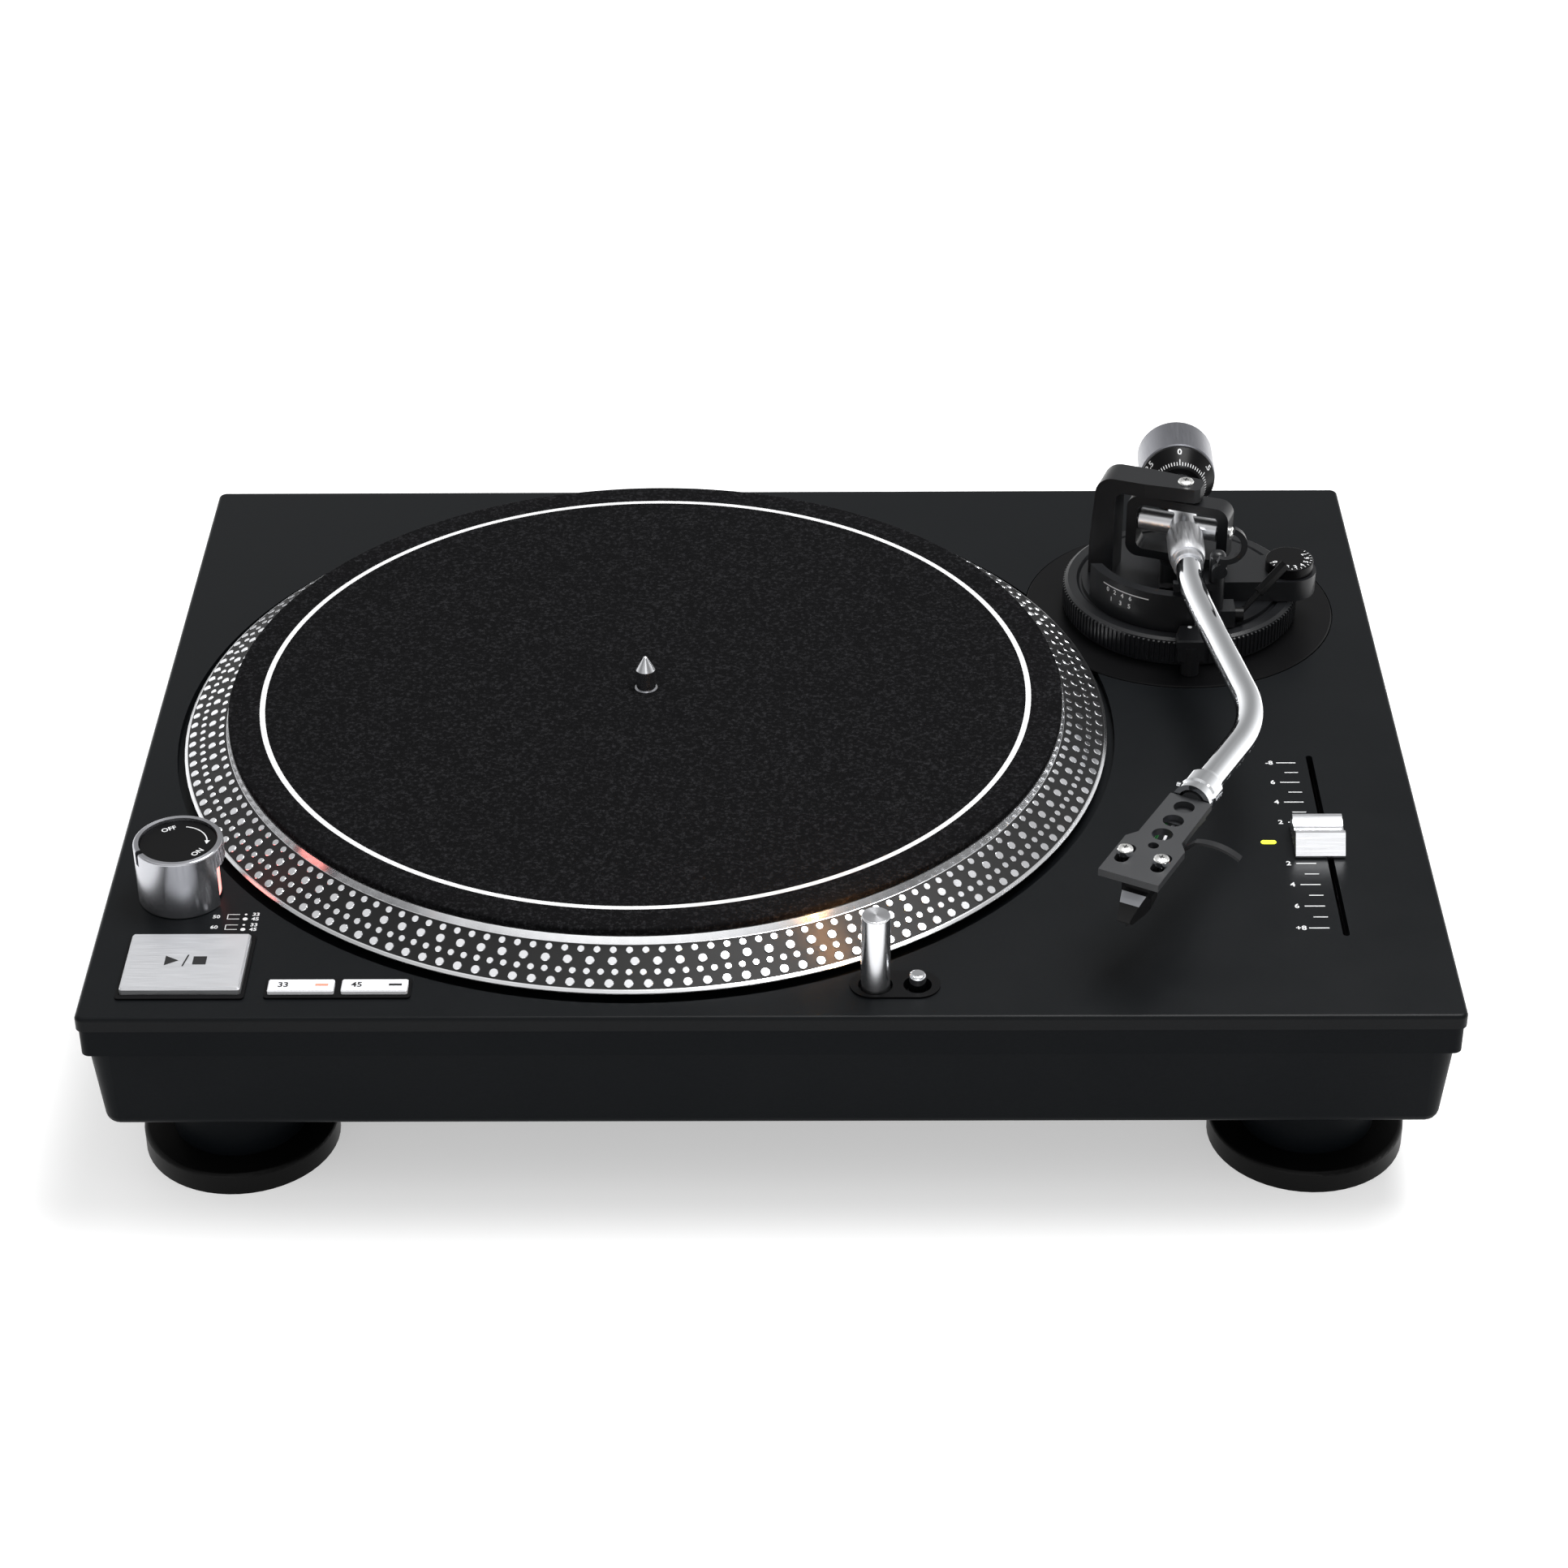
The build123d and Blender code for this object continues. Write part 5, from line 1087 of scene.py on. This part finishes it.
class PLAYER_OT_stage(bpy.types.Operator):
    """Set the floor, the light and the camera of the photograph"""

    bl_idname = "player.stage"
    bl_label = "Stage"

    # Camera solved from the photograph: lens and sensor in mm, place in mm, turns in degrees
    FOCAL_LENGTH = 83.11
    SENSOR = 36.0
    CAMERA = (14.03, -1107.84, 783.77)
    PITCH = 33.363
    YAW = -0.5496
    ROLL = -0.4606
    FLOOR_HALF = 6.0
    FLOOR_GLOW = 0.45
    # Screens round the studio: how many, their turn in radians, and the light between and on them
    SCREENS = 3.0
    SCREEN_TURN = 0.5
    SCREEN_LIGHT = (0.1, 1.5)
    # Light of the screens and the ceiling: from one height of the direction to another, and its change there
    WALL_HEIGHT = (0.1, 0.7)
    WALL_LIGHT = (0.8, 0.0)
    CEILING_HEIGHT = (0.6, 0.92)
    CEILING_LIGHT = (0.33, 0.95)

    def execute(self, context):
        scene = context.scene
        scene.view_settings.view_transform = "Standard"
        self.floor()
        self.sky(scene)
        self.lamp("top_softbox", place=(0.42, 0.25, 1.6), target=(0.02, 0.0, 0.05),
                  width=1.0, height=0.7, power=32)
        self.lamp("front_softbox", place=(0.25, -1.9, 1.3), target=(0.05, 0, 0.08),
                  width=0.9, height=0.5, power=1.7)
        camera = bpy.data.cameras.new("photo_camera")
        camera.lens = self.FOCAL_LENGTH
        camera.sensor_width = self.SENSOR
        holder = new_object("photo_camera", camera)
        holder.matrix_world = (
            Matrix.Translation(Vector(self.CAMERA) * MM)
            @ Matrix.Rotation(math.radians(-self.YAW), 4, "Z")
            @ Matrix.Rotation(math.radians(90 - self.PITCH), 4, "X")
            @ Matrix.Rotation(math.radians(self.ROLL), 4, "Z"))
        scene.camera = holder
        return {"FINISHED"}

    def floor(self):
        """White sweep: it takes the shadow, and glows only for the eye, for mirrors and through glass."""
        mesh = bpy.data.meshes.new("floor")
        corners = oblong(2 * self.FLOOR_HALF, 2 * self.FLOOR_HALF)
        mesh.from_pydata([(x, y, 0) for x, y in corners], [], [(0, 1, 2, 3)])
        floor = new_object("floor", mesh)
        # White paper: a matt pale grey under the lamps, and white where its glow adds to them
        material, tree, shader = start("white_paper_floor", {
            "Base Color": rgba(linear("#d8d8d8")), "Roughness": 0.9, "Specular IOR Level": 0.0,
            "Emission Color": (1, 1, 1, 1)})
        path = add(tree, "LightPath")
        seen = add(tree, "Math", {"operation": "MAXIMUM"}, {
            0: path.outputs["Is Camera Ray"], 1: path.outputs["Is Glossy Ray"]})
        shown = add(tree, "Math", {"operation": "MAXIMUM"}, {
            0: seen.outputs[0], 1: path.outputs["Is Transmission Ray"]})
        glow = add(tree, "Math", {"operation": "MULTIPLY"}, {0: shown.outputs[0], 1: self.FLOOR_GLOW})
        tree.links.new(glow.outputs[0], shader.inputs["Emission Strength"])
        mesh.materials.append(material)

    def sky(self, scene):
        """Studio round the player: three pale screens that fade upward, and a brighter ceiling."""
        world = bpy.data.worlds.new("studio")
        scene.world = world
        world.use_nodes = True
        tree = world.node_tree
        tree.nodes.clear()
        direction = add(tree, "SeparateXYZ", inputs={0: add(tree, "TexCoord").outputs["Generated"]})
        angle = add(tree, "Math", {"operation": "ARCTAN2"}, {
            0: direction.outputs["Y"], 1: direction.outputs["X"]})
        turn = add(tree, "Math", {"operation": "MULTIPLY_ADD"}, {
            0: angle.outputs[0], 1: self.SCREENS, 2: self.SCREEN_TURN})
        wave = add(tree, "Math", {"operation": "SINE"}, {0: turn.outputs[0]})
        height = direction.outputs["Z"]
        screens, walls, ceiling = (add(tree, "MapRange", inputs={
            "Value": value, "From Min": low, "From Max": high, "To Min": first, "To Max": last})
            for value, (low, high), (first, last) in (
                (wave.outputs[0], (-1.0, 1.0), self.SCREEN_LIGHT),
                (height, self.WALL_HEIGHT, self.WALL_LIGHT),
                (height, self.CEILING_HEIGHT, self.CEILING_LIGHT)))
        level = add(tree, "Math", {"operation": "MULTIPLY_ADD"}, {
            0: walls.outputs["Result"], 1: screens.outputs["Result"], 2: ceiling.outputs["Result"]})
        back = add(tree, "Background", inputs={"Color": (1, 1, 1, 1), "Strength": level.outputs[0]})
        add(tree, "OutputWorld", inputs={"Surface": back.outputs[0]})

    def lamp(self, name, place, target, width, height, power):
        """A soft box that faces a point."""
        light = bpy.data.lights.new(name, "AREA")
        light.shape = "RECTANGLE"
        light.size = width
        light.size_y = height
        light.energy = power
        holder = new_object(name, light)
        holder.location = place
        aim = Vector(target) - Vector(place)
        holder.rotation_euler = aim.to_track_quat("-Z", "Y").to_euler()


OPERATORS = (
    PLAYER_OT_finishes, PLAYER_OT_case, PLAYER_OT_platter, PLAYER_OT_mat, PLAYER_OT_keys, PLAYER_OT_power,
    PLAYER_OT_light, PLAYER_OT_pitch, PLAYER_OT_ring, PLAYER_OT_arm_base, PLAYER_OT_arm, PLAYER_OT_weight,
    PLAYER_OT_stage)


class PLAYER_PT_panel(bpy.types.Panel):
    """Lists the player's steps in the sidebar"""

    bl_idname = "PLAYER_PT_panel"
    bl_label = "Record Player"
    bl_space_type = "VIEW_3D"
    bl_region_type = "UI"
    bl_category = "Record Player"

    def draw(self, context):
        for operator in OPERATORS:
            self.layout.operator(operator.bl_idname)


CLASSES = (PlayerColours, PlayerSizes, *OPERATORS, PLAYER_PT_panel)


def register():
    for cls in CLASSES:
        bpy.utils.register_class(cls)
    bpy.types.Scene.player_colours = bpy.props.PointerProperty(type=PlayerColours)
    bpy.types.Scene.player_sizes = bpy.props.PointerProperty(type=PlayerSizes)


def unregister():
    del bpy.types.Scene.player_sizes
    del bpy.types.Scene.player_colours
    for cls in reversed(CLASSES):
        bpy.utils.unregister_class(cls)


def main():
    """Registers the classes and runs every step."""
    register()
    for operator in OPERATORS:
        group, step = operator.bl_idname.split(".")
        getattr(getattr(bpy.ops, group), step)()


if __name__ == "__main__":
    main()
